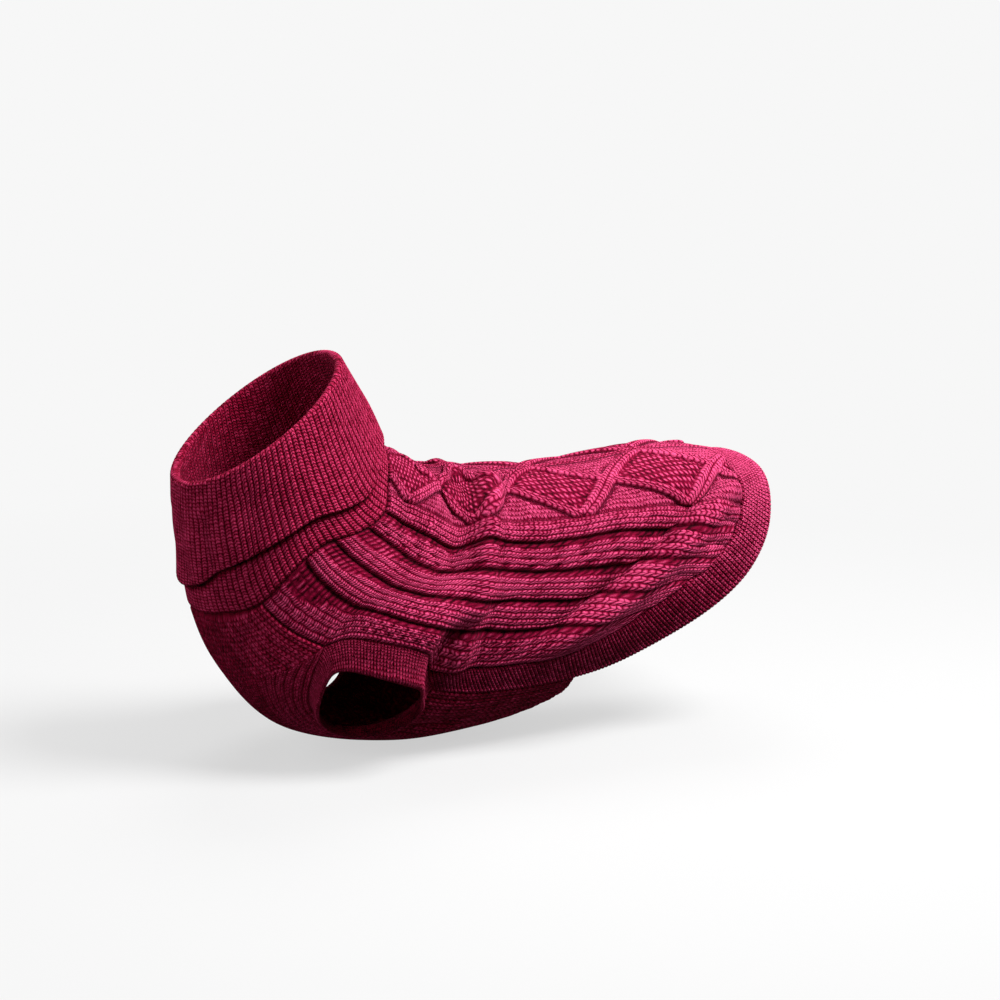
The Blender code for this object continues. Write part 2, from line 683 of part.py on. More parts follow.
def cuff(name, side):
    """A ribbed cuff: it goes on from the cloth round the hole and turns down."""
    count = 2 * CUFF_RIBS
    edge, station, angle = leg_hole(side, count)
    normal = outward(worn, station, angle)
    into = np.cross(normal, np.roll(edge, -1, axis=0) - np.roll(edge, 1, axis=0))
    into = unit(round_ring(unit(into * -side), 4))
    under = ease(-normal[:, 2], 0.35, 0.8)
    depth = smooth(np.arange(count) / count, column(CUFF, "turn"), column(CUFF, "depth"))
    depth = depth * (1 - under) + CUFF_INNER_DEPTH * under
    start = edge + into * SEAM_GAP
    knee = start + into * CUFF_REACH
    end = round_ring(knee - depth[:, None] * (0, 0, 1), CUFF_PASSES)

    def line_at(share):
        return start * (1 - share) ** 2 + knee * 2 * share * (1 - share) + end * share ** 2

    ribs = (CUFF_WALL + CUFF_RISE * (np.arange(count) % 2))[:, None]
    inner_lines = []
    outer_lines = []
    for share in np.linspace(0, 1, CUFF_ROWS + 1):
        line = line_at(share)
        along_ring = np.roll(line, -1, axis=0) - np.roll(line, 1, axis=0)
        ahead = line_at(min(share + 0.05, 1)) - line_at(max(share - 0.05, 0))
        away = normal if share == 0 else unit(np.cross(ahead, along_ring) * side)
        outer_lines.append(line + unit(round_ring(away, 4)) * ribs)
        inner_lines.append(line[::2])
    return ring(name, outer_lines + inner_lines[::-1])


def clear_scene():
    for item in list(bpy.data.objects):
        bpy.data.objects.remove(item, do_unlink=True)


def main():
    clear_scene()
    garment = bpy.data.collections.new(OBJECT_NAME)
    bpy.context.scene.collection.children.link(garment)
    pieces = [back_panel(), chest_belly_panel(), collar(), hem_band(),
              cuff("cuff_left", 1), cuff("cuff_right", -1)]
    for piece in pieces:
        garment.objects.link(piece)


if __name__ == "__main__":
    main()
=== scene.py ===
"""Knitted look of the dog sweater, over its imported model.

The same bent tube as the solids is cut into the same six pieces at the
fineness of the knitting. Every piece is a thin shell of cloth whose outer
points carry the ribs, stripes, cables and creases. Each point also knows its
wale and its course, which place the stitches that the material draws.

A place on the tube is a station along it, from the rim of the collar (0) to
the rump (10), and an angle round it in degrees, from the spine (0) to the keel
(180), above 0 on the wearer's left. Lengths are in millimetres until the
meshes are made.
"""
import math
from collections import namedtuple

import bpy
import numpy as np
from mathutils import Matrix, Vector


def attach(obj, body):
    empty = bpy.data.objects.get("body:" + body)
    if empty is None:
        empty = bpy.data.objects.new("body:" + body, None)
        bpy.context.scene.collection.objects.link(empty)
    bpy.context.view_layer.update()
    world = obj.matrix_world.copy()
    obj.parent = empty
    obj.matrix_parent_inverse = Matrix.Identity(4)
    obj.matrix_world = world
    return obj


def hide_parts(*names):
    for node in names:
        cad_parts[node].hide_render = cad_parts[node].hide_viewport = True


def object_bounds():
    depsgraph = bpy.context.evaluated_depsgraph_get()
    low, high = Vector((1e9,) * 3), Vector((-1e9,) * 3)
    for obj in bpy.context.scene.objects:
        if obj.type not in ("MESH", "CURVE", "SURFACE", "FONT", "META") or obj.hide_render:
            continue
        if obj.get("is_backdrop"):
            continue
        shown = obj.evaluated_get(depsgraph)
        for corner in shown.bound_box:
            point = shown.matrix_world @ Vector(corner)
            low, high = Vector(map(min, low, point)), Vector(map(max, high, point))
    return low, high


METRES = 0.001              # one millimetre
CLOTH = 1.7                 # thickness of plain knit in a valley
EDGE_ROUND = 2.4            # width over which an edge of a piece rounds off
SEAM_ROUND = 4.0            # the same, on the collar at the neck seam
BORDER = 0.35               # thickness left at the very edge
SEAM_PAINTED_SHADE = 0.25            # painted shade in a seam: how much of its light tone the wool keeps there
INSIDE_STEP = 5             # the inside uses every fifth line of the outside
NO_LANE = 9.0               # lane of a point that lies on no cable (on one it is -1 to 1)
ANGLE_STEP = 0.4            # degrees to each side over which a surface's slope is taken
STATION_STEP = 0.012        # and stations

# The form of the tube: sections across it, with the top (spine) and bottom
# (keel) points, the largest reach to the side and where that lies
Section = namedtuple("Section", "station spine_y spine_z keel_y keel_z half_width widest_at fullness")
BODY = (
    Section(0, -49, 72, -149, -4, 56, 0.50, 0.00),
    Section(1, -33, 40, -147, -50, 59, 0.50, 0.00),
    Section(2, -14, 9, -143, -92, 63, 0.48, 0.00),
    Section(3, 10, -6, -124, -136, 69, 0.46, 0.02),
    Section(4, 32, -14, -85, -177, 74, 0.45, 0.02),
    Section(5, 60, -16, -15, -195, 76, 0.45, 0.02),
    Section(6, 100, -19, 50, -193, 75, 0.45, 0.02),
    Section(7, 145, -18, 112, -181, 74, 0.46, 0.03),
    Section(8, 190, -13, 175, -165, 72, 0.47, 0.04),
    Section(9, 235, -16, 235, -152, 70, 0.48, 0.05),
    Section(10, 280, -26, 285, -142, 67, 0.50, 0.05),
)

# Seams and edges: station and angle of points on the left half of the tube
NECK_SEAM = (
    (2.03, 0), (2.10, 24), (2.28, 43), (2.52, 62), (2.38, 74), (2.05, 91), (2.02, 102),
    (2.09, 114), (2.20, 129), (2.08, 153), (2.00, 180),
)
NECK_CORNER = 129           # angle where the side seam meets the neck seam
SIDE_SEAM = ((2.20, 129), (2.75, 124.5), (3.20, 119))
ARMHOLE = (
    (3.20, 119), (3.31, 112), (3.50, 107.5), (3.80, 104), (4.15, 102.5), (4.45, 104.5),
    (4.70, 112),
)
LEG_INSIDE = (
    (3.20, 119), (3.38, 129), (3.70, 140), (4.05, 147), (4.42, 149), (4.74, 138),
    (4.87, 120),
)
# The hem band lies between these two lines, from the spine round to the leg opening
HEM_EDGE = (
    (9.70, 0), (9.65, 30), (9.52, 58), (9.35, 78), (9.03, 97), (8.55, 113), (8.00, 124.5),
    (7.42, 131), (6.85, 131), (6.40, 128.5), (5.90, 126), (5.35, 123.5), (4.87, 120),
)
HEM_SEAM = (
    (9.08, 0), (9.05, 25), (9.02, 46), (8.93, 65), (8.62, 82), (8.08, 95.5), (7.52, 103.5),
    (7.03, 109), (6.56, 112.5), (6.10, 113), (5.58, 112), (5.10, 111.5), (4.70, 112),
)
HEM_CORNER = 8              # place in both where the rump turns into the belly
# Stations of even steps down the middle of the chest and belly
CHEST_KEEL = (2.00, 2.60, 3.12, 3.40, 3.75, 4.05, 4.35, 4.62, 4.87, 5.10, 5.32, 5.55, 5.75)

# Side of the back piece as if it had no leg opening, which leads the stripes: angle at
# shares of its length
CALM_EDGE = (
    (0.00, 129), (0.26, 119.5), (0.45, 109), (0.60, 108), (0.80, 111), (1.00, 112.5),
)
BACK_JOINTS = (0, 10 / 38, 22 / 38, 1)   # shares of the back's side: seam, sleeve and hem
CHEST_JOINTS = (0, 2 / 12, 8 / 12, 1)    # shares of the chest's side: seam, leg and hem
COURSE_SAG = 0.5            # stations that the rows of knitting hang back on the flanks

# Long stripes of the back: where they end, the wales in each, how high its crown is
# and how much lower the ladder along its upper edge
Stripe = namedtuple("Stripe", "outer_edge at_neck at_middle at_hem kind wales rise sink")
STRIPES = (
    Stripe(0.03, 0.03, 0.03, 0.03, "plain", 1, 0.9, 0),
    Stripe(0.44, 0.37, 0.44, 0.52, "diamonds", 16, 0.8, 0),
    Stripe(0.54, 0.46, 0.54, 0.64, "ribs", 4, 2.2, 0.9),
    Stripe(0.66, 0.55, 0.66, 0.75, "plait", 5, 2.2, 0),
    Stripe(0.765, 0.67, 0.765, 0.84, "ribs", 5, 2.2, 0.9),
    Stripe(0.87, 0.79, 0.87, 0.91, "ribs", 5, 2.2, 0.9),
    Stripe(1.00, 1.00, 1.00, 1.00, "eyelets", 5, 1.6, 0.5),
)
BELOW_FIRST_VALLEY = 0.5    # stripes from here outward start with a ladder of purl stitches
LADDER_WALES = 0.75         # its width
LADDER_OPENING = 1.5        # how many wales wider it is beside the neck seam
WALE_SAMPLES = 5            # columns of points in a wale
BACK_ROWS = 190             # a multiple of 38, so that the corners lie on rows
BACK_COURSES = 104
WALE_RISE = 0.6             # how far the wales stand up
FIRST_VALLEY = 0.6          # depth of the channel beside the diamonds
VALLEY_DEPTH = 1.7          # and of the others
VALLEY_WIDTH = 0.008        # share of the half piece
GROUND_WALES = 124          # turned stitches along the ground between the diamonds
HEM_CALM = 0.65             # how much flatter the long stripes lie over the rump
HEM_CALM_FROM = (0.80, 0.92)

# Cables, plait and eyelets
CROSSINGS = (-0.06, 0.200, 0.432, 0.684, 0.952, 1.22)   # shares of the back's length
CABLE_HALF_WIDTH = 3.9
CABLE_RISE = 2.5
CABLE_SLOPE = 1.3           # length to breadth of a diamond
DIAMOND_SPREAD = 32         # from the spine to a diamond's side corner
Groove = namedtuple("Groove", "gap width depth")
GROOVE = Groove(0.7, 0.9, 0.9)           # beside each cable
SEED_PUFF = 1.2             # how far the seed stitch swells in a diamond
PLAIT_CROSSINGS = 15
PLAIT_SWING = 0.22          # this and the next are shares of the stripe's width
STRAND_REACH = 0.20
EyeletRow = namedtuple("EyeletRow", "across shift")
EYELET_ROWS = (EyeletRow(0.30, 0), EyeletRow(0.50, 0.5), EyeletRow(0.70, 0))
EYELET_COURSES = 3          # from one eyelet to the next
EYELET_DEPTH = 1.3

# Painted light and shade of the wool: heights of the relief where the wool is painted at its darkest
# and its lightest, and what else lightens or shades it
BACK_PAINTED_SHADE = (-1.3, 2.0)
CHEST_PAINTED_SHADE = (-1.0, 2.2)
HEM_PAINTED_SHADE = (-0.5, 1.0)
COLLAR_PAINTED_SHADE = (-0.6, 1.0)
CUFF_PAINTED_SHADE = (-0.5, 0.75)
# painted shade on the sunk ladders along the stripes
LADDER_SHADE = 0.25
GROUND_LIGHT = 0.35
# painted light on the back over the rump
RUMP_PAINTED_LIGHT = 0.2
HEM_PAINTED_HIGHLIGHT = 0.6             # painted highlight on the hem over the rump, where the hem is also pulled smooth
# painted shade on the hem where it turns under the belly
BELLY_SHADE = 0.3

# The sleeve: the leg pushes the side of the back piece outward
SLEEVE_PUSH = 21
SLEEVE_STARTS = (2.2, 4.0)
SLEEVE_ENDS = (4.28, 4.70)
SLEEVE_SOFT_END = 1.3       # stations further that it fades out, higher up the side
SLEEVE_ANGLES = (58, 100, 122, 148)

# Creases of the worn cloth: how wide, how high (below 0 for a trough), where it runs and
# how much the cloth to the right of its path stands over that to its left
Crease = namedtuple("Crease", "width height path step", defaults=[0.0])
CREASES = (
    # near side: the drape that falls from the rump forward to the belly
    Crease(9.5, 0.0, ((9.30, 30), (8.72, 49), (8.32, 61), (7.84, 74), (7.32, 86), (6.50, 99),
                      (5.80, 108)), 6.0),
    Crease(12, -3.0, ((8.60, 40), (8.10, 54), (7.60, 68), (7.10, 80), (6.40, 94))),
    # across the side, over the back of the shoulder
    Crease(11, 4.2, ((5.35, 4), (4.98, 28), (4.93, 56), (4.98, 80), (5.04, 104), (5.10, 124)), -4.2),
    Crease(8, -2.4, ((5.42, 30), (5.40, 58), (5.50, 90))),
    Crease(17, -5.4, ((4.35, 8), (4.30, 26), (4.36, 60), (4.50, 88))),
    Crease(12, -1.6, ((5.80, 44), (5.90, 75), (5.85, 104))),
    Crease(10, 2.2, ((6.90, 40), (7.05, 62), (6.95, 84))),
    Crease(9, -1.4, ((6.25, 30), (6.40, 54), (6.35, 74))),
    Crease(8, 1.6, ((3.35, 46), (3.75, 66), (4.05, 88))),
    # bunching behind the collar
    Crease(7, -3.6, ((3.32, -16), (3.42, 8), (3.60, 26), (3.95, 40), (4.30, 44))),
    Crease(6, -2.2, ((2.88, 2), (2.95, 18), (3.10, 32))),
    Crease(11, 3.4, ((4.15, -14), (4.20, 2), (4.25, 16))),
    Crease(8, -2.6, ((5.08, -16), (5.20, 0), (5.34, 14), (5.44, 32))),
    Crease(7, -2.0, ((2.70, 44), (2.95, 58), (3.15, 72))),
    # short wrinkles at the hem
    Crease(3.6, -2.2, ((8.55, 56), (8.80, 58), (9.08, 62))),
    Crease(3.6, -2.0, ((8.52, 66), (8.75, 68), (9.00, 72))),
    Crease(3.8, -2.2, ((8.25, 77), (8.50, 79), (8.76, 82))),
    Crease(3.4, -1.8, ((7.80, 90), (8.05, 92), (8.30, 94))),
    # hidden side: alike, not the same
    Crease(11, 0.0, ((9.15, -30), (8.70, -46), (8.20, -64), (7.60, -84), (6.90, -100),
                     (6.20, -112)), -5.0),
    Crease(13, -3.0, ((8.20, -44), (7.60, -62), (7.00, -82), (6.40, -100))),
    Crease(10, 2.8, ((4.80, -22), (5.00, -50), (5.10, -84))),
    Crease(12, -2.6, ((4.10, -28), (4.30, -58), (4.45, -82))),
    Crease(10, 2.2, ((6.35, -36), (6.55, -60), (6.60, -84))),
    Crease(12, -2.0, ((5.60, -50), (5.75, -80), (5.70, -104))),
    Crease(7, -2.0, ((2.75, -46), (3.00, -62), (3.15, -76))),
    Crease(3.6, -2.0, ((8.50, -60), (8.75, -63), (9.00, -66))),
    Crease(3.6, -2.0, ((8.20, -76), (8.45, -79), (8.70, -82))),
    # the chest, below the collar and between the legs
    Crease(7, -1.8, ((2.35, 138), (2.75, 150), (3.20, 168))),
    Crease(7, -1.8, ((2.45, -142), (2.85, -156), (3.30, -172))),
    Crease(5, -2.2, ((4.80, 146), (5.20, 143), (5.60, 140))),
    Crease(6, 1.8, ((4.70, 154), (5.20, 150), (5.65, 146))),
    Crease(5, -2.0, ((4.80, -150), (5.20, -146), (5.55, -142))),
    # the front of the neck
    Crease(10, -1.6, ((0.40, 174), (1.00, 173), (1.70, 166))),
    Crease(9, -1.4, ((0.40, 152), (0.95, 150), (1.60, 146))),
    Crease(11, -1.2, ((0.30, 120), (1.00, 122), (1.75, 127))),
    Crease(10, -1.6, ((0.40, -160), (1.00, -158), (1.70, -154))),
    Crease(11, -1.4, ((0.30, -126), (1.00, -128), (1.70, -132))),
)
CREASE_PIECES = 3           # straight pieces between two places of a crease
CREASE_ENDS = (0.22, 0.78)  # shares of its run where a crease is at its full height
STEP_PEAK = 2.33            # makes reach * exp(-reach ** 2) 1 at its highest
STATION_LENGTH = 48         # rough length of one station, for the creases
DEGREE_LENGTH = 1.3         # rough length of one degree round the tube

# Places where a bunched crease carries the stripes along with it, up the side (below 0)
# or down it, in degrees
Warp = namedtuple("Warp", "station half degrees station_width half_width")
WARPS = (
    Warp(4.85, 0.52, -2.0, 0.42, 0.11),
    Warp(4.35, 0.53, 1.5, 0.40, 0.10),
    Warp(5.75, 0.55, 1.2, 0.45, 0.10),
    Warp(7.00, 0.60, -1.6, 0.50, 0.12),
    Warp(8.45, 0.68, 2.4, 0.35, 0.12),
)

# The collar
COLLAR_RIBS = 108
RIB_SAMPLES = 6             # columns of points in a rib
RIB_RISE = 0.8
COLLAR_LAYER = 3.1          # half the thickness of the folded collar at its rim
COLLAR_COURSE = 2.2         # length of one course
COLLAR_ROWS = 44            # rows of points on the layer that shows
FREE_EDGE_RADIUS = 1.05     # half the thickness of the free edge
FREE_EDGE_DROP = 2.0        # how much of the layer it takes up
STAND = 2.3                 # thickness of the collar behind the free edge
FOOT = 2.2                  # and from there to the neck seam
# Angles round the collar, with the share of its height at which its free edge lies there
FREE_EDGE = (
    (0, 0.12), (45, 0.18), (80, 0.245), (100, 0.265), (118, 0.32), (132, 0.36), (146, 0.32),
    (164, 0.23), (180, 0.20),
)

# Hem, chest and cuffs
HEM_RIB_PITCH = 2.9
HEM_RIB_SAMPLES = 5
HEM_RISE = 0.8
HEM_LIP = 0.8               # how much thicker its edge is
HEM_ROWS = 20
HEM_COURSES = 11
CHEST_ROWS = 156            # a multiple of 12, for the same reason
CHEST_WALES = 58
CHEST_COURSES = 84
CHEST_WALE_RISE = 0.45
CHEST_RIB_WALES = 3
CHEST_RIB_RISE = 1.4
CUFF_RIBS = 124
CUFF_RIB_SAMPLES = 5
CUFF_RISE = 0.75
CUFF_LIP = 0.7              # how much thicker its edge is
CUFF_ROWS = 20
CUFF_COURSES = 11
CUFF_LENGTH = 22            # rough depth, for the rounding of its lower edge
CUFF_REACH = 6              # how far it follows the cloth's slope before it hangs
CUFF_OVERLAP = 0.9          # how far it starts under the cloth round the hole
CUFF_INNER_DEPTH = 12       # its depth under the belly
SLOPE_PASSES = 115          # how often its slopes, lower edge and normals are evened out
EDGE_PASSES = 950
NORMAL_PASSES = 190
# Shares of the way round a leg opening, with the depth of the cuff there
CUFF = ((0.00, 12), (0.12, 18), (0.28, 21), (0.44, 20), (0.58, 15), (0.78, 14), (1.00, 12))

# Wool: colour in the hollows between stitches, where shade is painted, on the stitches, and on their
# crowns, where a pinker highlight is painted
Wool = namedtuple("Wool", "hollow stitch crown")
RASPBERRY = Wool((0.012, 0.0001, 0.0012), (0.200, 0.0015, 0.024), (0.68, 0.066, 0.190))
CRIMSON = Wool((0.014, 0.0001, 0.0011), (0.215, 0.0010, 0.020), (0.56, 0.036, 0.120))
WOOL_FINISH = {
    "Roughness": 0.9,
    "Specular IOR Level": 0.04,
    "Sheen Weight": 0.06,
    "Sheen Roughness": 0.4,
    "Sheen Tint": (1.0, 0.15, 0.34, 1),
}
STITCH_HEIGHT = 0.85        # millimetres that the drawn stitches stand up
WALE_DRIFT = 0.45           # how uneven the stitches are, in wales and in courses
COURSE_DRIFT = 0.9
PURL_SCALE = 0.78           # purl beads for each plain stitch, each way
FIBRE_TONE = 0.6            # how much fibres, clouds and single stitches vary the tone
CLOUD_TONE = 0.35
STITCH_TONE = 0.28

BACKDROP = (0.93, 0.93, 0.93, 1)
FLOOR_PAINT = (0.55, 0.55, 0.55, 1)
FLOOR_REACH = 4.0           # metres
FLOOR_GAP = 0.001
FLOOR_SHARE = 0.48          # share of the paint in the floor under the origin
FLOOR_FADE = -0.55          # how it changes with each metre away

# Camera: where it looks, from which side and from how many metres
LOOK_AT = (0.030, 0.065, -0.0315)
CAMERA_AZIMUTH = 65
CAMERA_ELEVATION = 12
CAMERA_DISTANCE = 2.0
LENS_MM = 105.9
SENSOR_MM = 36

# Lamps: round discs, in metres and watts, that aim a little below the camera's target
Lamp = namedtuple("Lamp", "name azimuth elevation distance size watts")
LAMPS = (
    Lamp("key", 135, 56, 1.6, 0.8, 45),
    Lamp("fill", 20, 22, 2.2, 1.4, 16),
    Lamp("back", 250, 55, 1.8, 1.0, 16),
    Lamp("low", 55, -22, 2.0, 1.0, 4),
    Lamp("front", 320, 28, 2.2, 1.4, 12),
    Lamp("rear", 150, 32, 2.0, 0.9, 16),
    Lamp("inside", 178, -32, 2.0, 1.2, 7),
)
LAMP_TARGET = (0.030, 0.065, -0.0715)


# -------- curves

def smooth(at, knots, values):
    """Value at each place of a smooth curve through the knots."""
    at = np.asarray(at, float)
    knots = np.asarray(knots, float)
    values = np.asarray(values, float)
    spans = np.diff(knots)
    slopes = np.diff(values) / spans
    tangents = np.empty_like(values)
    tangents[0] = slopes[0]
    tangents[-1] = slopes[-1]
    tangents[1:-1] = (slopes[:-1] * spans[1:] + slopes[1:] * spans[:-1]) / (spans[1:] + spans[:-1])
    cell = np.clip(np.searchsorted(knots, at, side="right") - 1, 0, len(knots) - 2)
    share = (at - knots[cell]) / spans[cell]
    square = share * share
    cube = square * share
    return ((2 * cube - 3 * square + 1) * values[cell]
            + (cube - 2 * square + share) * spans[cell] * tangents[cell]
            + (3 * square - 2 * cube) * values[cell + 1]
            + (cube - square) * spans[cell] * tangents[cell + 1])


def ease(value, start, end):
    """0 before start, 1 after end and a smooth step between them."""
    share = np.clip((value - start) / (end - start), 0, 1)
    return share * share * (3 - 2 * share)


def bump(distance, width):
    """A round-topped ridge: 1 on its line, 0 at its width."""
    share = np.clip(1 - np.abs(distance) / width, 0, 1)
    return np.sqrt(share * (2 - share))


def along(places, share):
    """Station and angle at shares 0 to 1 of a seam, its points evenly spread."""
    knots = np.linspace(0, 1, len(places))
    stations, angles = zip(*places)
    return smooth(share, knots, stations), smooth(share, knots, angles)


def column(table, name):
    return np.array([getattr(row, name) for row in table], float)


# -------- the tube

def body(station, angle):
    """Points of the bare tube."""
    station, angle = np.broadcast_arrays(np.asarray(station, float), np.asarray(angle, float))
    stations = column(BODY, "station")
    values = {name: smooth(station, stations, column(BODY, name)) for name in Section._fields[1:]}
    turn = np.radians(angle)
    cosine = np.cos(turn)
    axis_y = values["spine_y"] - values["keel_y"]
    axis_z = values["spine_z"] - values["keel_z"]
    widest = values["widest_at"]
    full = values["fullness"] * (1 + cosine) / 2
    side = values["half_width"] * (np.sin(turn) + full * np.sin(3 * turn)) / (1 - full)
    rise = (cosine - full * np.cos(3 * turn)) / (1 - full)
    height = 1 - widest + np.where(rise > 0, rise * widest, rise * (1 - widest))
    return np.stack([side, values["keel_y"] + axis_y * height, values["keel_z"] + axis_z * height], -1)


def unit(vectors):
    return vectors / np.linalg.norm(vectors, axis=-1, keepdims=True)


def outward(surface, station, angle):
    """Unit normals of a surface given as a function of station and angle."""
    across = surface(station, angle + ANGLE_STEP) - surface(station, angle - ANGLE_STEP)
    length = surface(station + STATION_STEP, angle) - surface(station - STATION_STEP, angle)
    return unit(np.cross(across, length))


def crease_height(crease, path, x, y):
    """Height of a crease at points near its path, all in millimetres on the flat cloth."""
    best = np.full(x.shape, np.inf)
    side = np.zeros_like(x)
    place = np.zeros_like(x)
    for number, (start, end) in enumerate(zip(path[:-1], path[1:])):
        run = end - start
        share = np.clip(((x - start[0]) * run[0] + (y - start[1]) * run[1]) / (run @ run), 0, 1)
        distance = np.hypot(x - start[0] - share * run[0], y - start[1] - share * run[1])
        nearer = distance < best
        best = np.where(nearer, distance, best)
        side = np.where(nearer, np.sign(run[1] * (x - start[0]) - run[0] * (y - start[1])), side)
        place = np.where(nearer, (number + share) / (len(path) - 1), place)
    strength = ease(place, 0, CREASE_ENDS[0]) * (1 - ease(place, CREASE_ENDS[1], 1))
    reach = best / crease.width
    return strength * np.exp(-reach ** 2) * (crease.height + STEP_PEAK * crease.step * side * reach)


def fold_height(station, angle):
    """Sum of the creases of the worn cloth."""
    station, angle = np.broadcast_arrays(np.asarray(station, float), np.asarray(angle, float))
    x = station * STATION_LENGTH
    total = np.zeros(x.shape)
    for crease in CREASES:
        shares = np.linspace(0, 1, CREASE_PIECES * (len(crease.path) - 1) + 1)
        stations, angles = along(crease.path, shares)
        path = np.column_stack([stations * STATION_LENGTH, angles * DEGREE_LENGTH])
        middle = angles.mean()
        y = ((angle - middle + 180) % 360 - 180 + middle) * DEGREE_LENGTH
        low = path.min(0) - 3 * crease.width
        high = path.max(0) + 3 * crease.width
        near = (x > low[0]) & (x < high[0]) & (y > low[1]) & (y < high[1])
        total[near] += crease_height(crease, path, x[near], y[near])
    return total


def sleeve_push(station, angle):
    """How far the wearer's legs push the cloth out to the side."""
    reach = np.abs(angle)
    last = SLEEVE_ENDS[1] + SLEEVE_SOFT_END * (1 - ease(reach, 72, 100))
    lengthwise = ease(station, *SLEEVE_STARTS) * (1 - ease(station, SLEEVE_ENDS[0], last))
    round_it = ease(reach, *SLEEVE_ANGLES[:2]) * (1 - ease(reach, *SLEEVE_ANGLES[2:]))
    return SLEEVE_PUSH * lengthwise * round_it * np.sign(angle)


def worn(station, angle):
    """Points of the inside of the garment, folds and sleeves included."""
    points = body(station, angle)
    points = points + outward(body, station, angle) * fold_height(station, angle)[..., None]
    points[..., 0] += sleeve_push(station, angle)
    return points


# -------- seams

def neck_station(angle):
    stations, angles = zip(*NECK_SEAM)
    return smooth(np.abs(angle), angles, stations)


def stripe_share(spread, length):
    """Share of the half girth at a share of the half piece and of its length."""
    edges = np.concatenate([[0], column(STRIPES, "outer_edge")])
    lines = [np.interp(spread, edges, np.concatenate([[0], column(STRIPES, name)]))
             for name in ("at_neck", "at_middle", "at_hem")]
    return (lines[0] * (1 - length) * (1 - 2 * length)
            + lines[1] * 4 * length * (1 - length)
            + lines[2] * length * (2 * length - 1))


def seams_in_turn(share, joints, curves):
    """Places along curves that follow each other, each from one joint to the next."""
    part = np.clip(np.searchsorted(joints, share, side="right") - 1, 0, len(curves) - 1)
    places = [along(curve, np.clip((share - start) / (end - start), 0, 1))
              for curve, start, end in zip(curves, joints[:-1], joints[1:])]
    return (np.choose(part, [place[0] for place in places]),
            np.choose(part, [place[1] for place in places]))


def back_side(length):
    """Side of the back piece: its seam, its sleeve edge and its hem seam."""
    return seams_in_turn(length, BACK_JOINTS, (SIDE_SEAM, ARMHOLE, HEM_SEAM[:HEM_CORNER - 1:-1]))


def chest_side(length):
    """Side of the chest piece: its seam, the leg's edge and the seam with the hem."""
    return seams_in_turn(length, CHEST_JOINTS, (SIDE_SEAM, LEG_INSIDE, HEM_EDGE[:HEM_CORNER - 1:-1]))


def back_places(length, spread):
    """Station and angle on the back piece, from neck to hem and from -1 to 1 across."""
    half = np.abs(spread)
    edge_station, edge_angle = back_side(length)
    calm = smooth(length, *zip(*CALM_EDGE))
    angle = (calm + (edge_angle - calm) * ease(half, 0.85, 1)) * stripe_share(half, length)
    neck = neck_station(NECK_CORNER * stripe_share(half, 0 * length))
    shares = np.linspace(0, HEM_CORNER / (len(HEM_SEAM) - 1), 200)
    stations, angles = along(HEM_SEAM, shares)
    reach = np.interp(angles[-1] * stripe_share(half, 0 * length + 1), angles, shares)
    hem = along(HEM_SEAM, reach)[0]
    straight = neck + (hem - neck) * length
    corner = SIDE_SEAM[0][0]
    leg = ARMHOLE[-1][0]
    in_front = neck + (edge_station - corner) * (leg - neck) / (leg - corner)
    behind = leg + (edge_station - leg) * (hem - leg) / (stations[-1] - leg)
    beside = np.where(edge_station < leg, in_front, behind)
    sag = COURSE_SAG * 27 / 4 * length ** 2 * (1 - length)
    sag = sag * ease(half, 0.1, 0.5) * (1 - ease(half, 0.5, 1))
    station = straight + (beside - straight) * ease(half, 0.44, 0.92) + sag
    for warp in WARPS:
        off = ((station - warp.station) / warp.station_width) ** 2
        off = off + ((half - warp.half) / warp.half_width) ** 2
        angle = angle + warp.degrees * np.exp(-off) * ease(half, 0, 0.1) * (1 - ease(half, 0.9, 1))
    return station, angle * np.sign(spread)


def chest_places(length, spread):
    """Station and angle on the chest and belly piece, from neck to rear edge."""
    half = np.abs(spread)
    edge_station, edge_angle = chest_side(length)
    keel = smooth(length, np.linspace(0, 1, len(CHEST_KEEL)), CHEST_KEEL)
    angle = 180 - half * (180 - edge_angle)
    station = keel + (edge_station - keel) * ease(half, 0, 0.85)
    return station, np.where(spread < 0, -angle, angle)


# -------- cloth

def mesh_object(name, points, faces, values):
    """A smooth object from points in millimetres, with its values at each point."""
    mesh = bpy.data.meshes.new(name)
    mesh.from_pydata((points * METRES).tolist(), [], faces)
    mesh.shade_smooth()
    for key, numbers in values.items():
        layer = mesh.attributes.new(key, "FLOAT", "POINT")
        layer.data.foreach_set("value", np.asarray(numbers, np.float32))
    piece = bpy.data.objects.new(name, mesh)
    bpy.context.scene.collection.objects.link(piece)
    return piece


def knit_values(wale, course, painted_light_and_shade, purl=0, ladder=0, lane=NO_LANE):
    """What the wool material reads at each point of a grid, its painted light and shade among it."""
    values = {"wale": wale, "course": course, "painted_light_and_shade": painted_light_and_shade,
              "purl": purl, "ladder": ladder, "lane": lane}
    return {key: np.broadcast_to(value, np.shape(painted_light_and_shade)) for key, value in values.items()}


def edge_fall(row_runs, column_runs, edges):
    """1 over a grid and falling to 0 at its edges, from the lengths along it."""
    ways = {
        "start": row_runs,
        "end": row_runs[-1:] - row_runs,
        "sides": np.minimum(column_runs, column_runs[:, -1:] - column_runs),
    }
    share = np.clip(np.min([ways[edge] for edge in edges], axis=0) / EDGE_ROUND, 0, 1)
    return np.sqrt(share * (2 - share))


def run_lengths(points, axis):
    """Length of the way to each point along one axis of a grid."""
    steps = np.linalg.norm(np.diff(points, axis=axis), axis=-1)
    start = np.zeros_like(np.take(steps, [0], axis=axis))
    return np.cumsum(np.concatenate([start, steps], axis=axis), axis=axis)


def quads(*corners):
    """Faces from four grids of point numbers, one for each corner of a face."""
    return np.stack([np.ravel(corner) for corner in corners], -1).tolist()


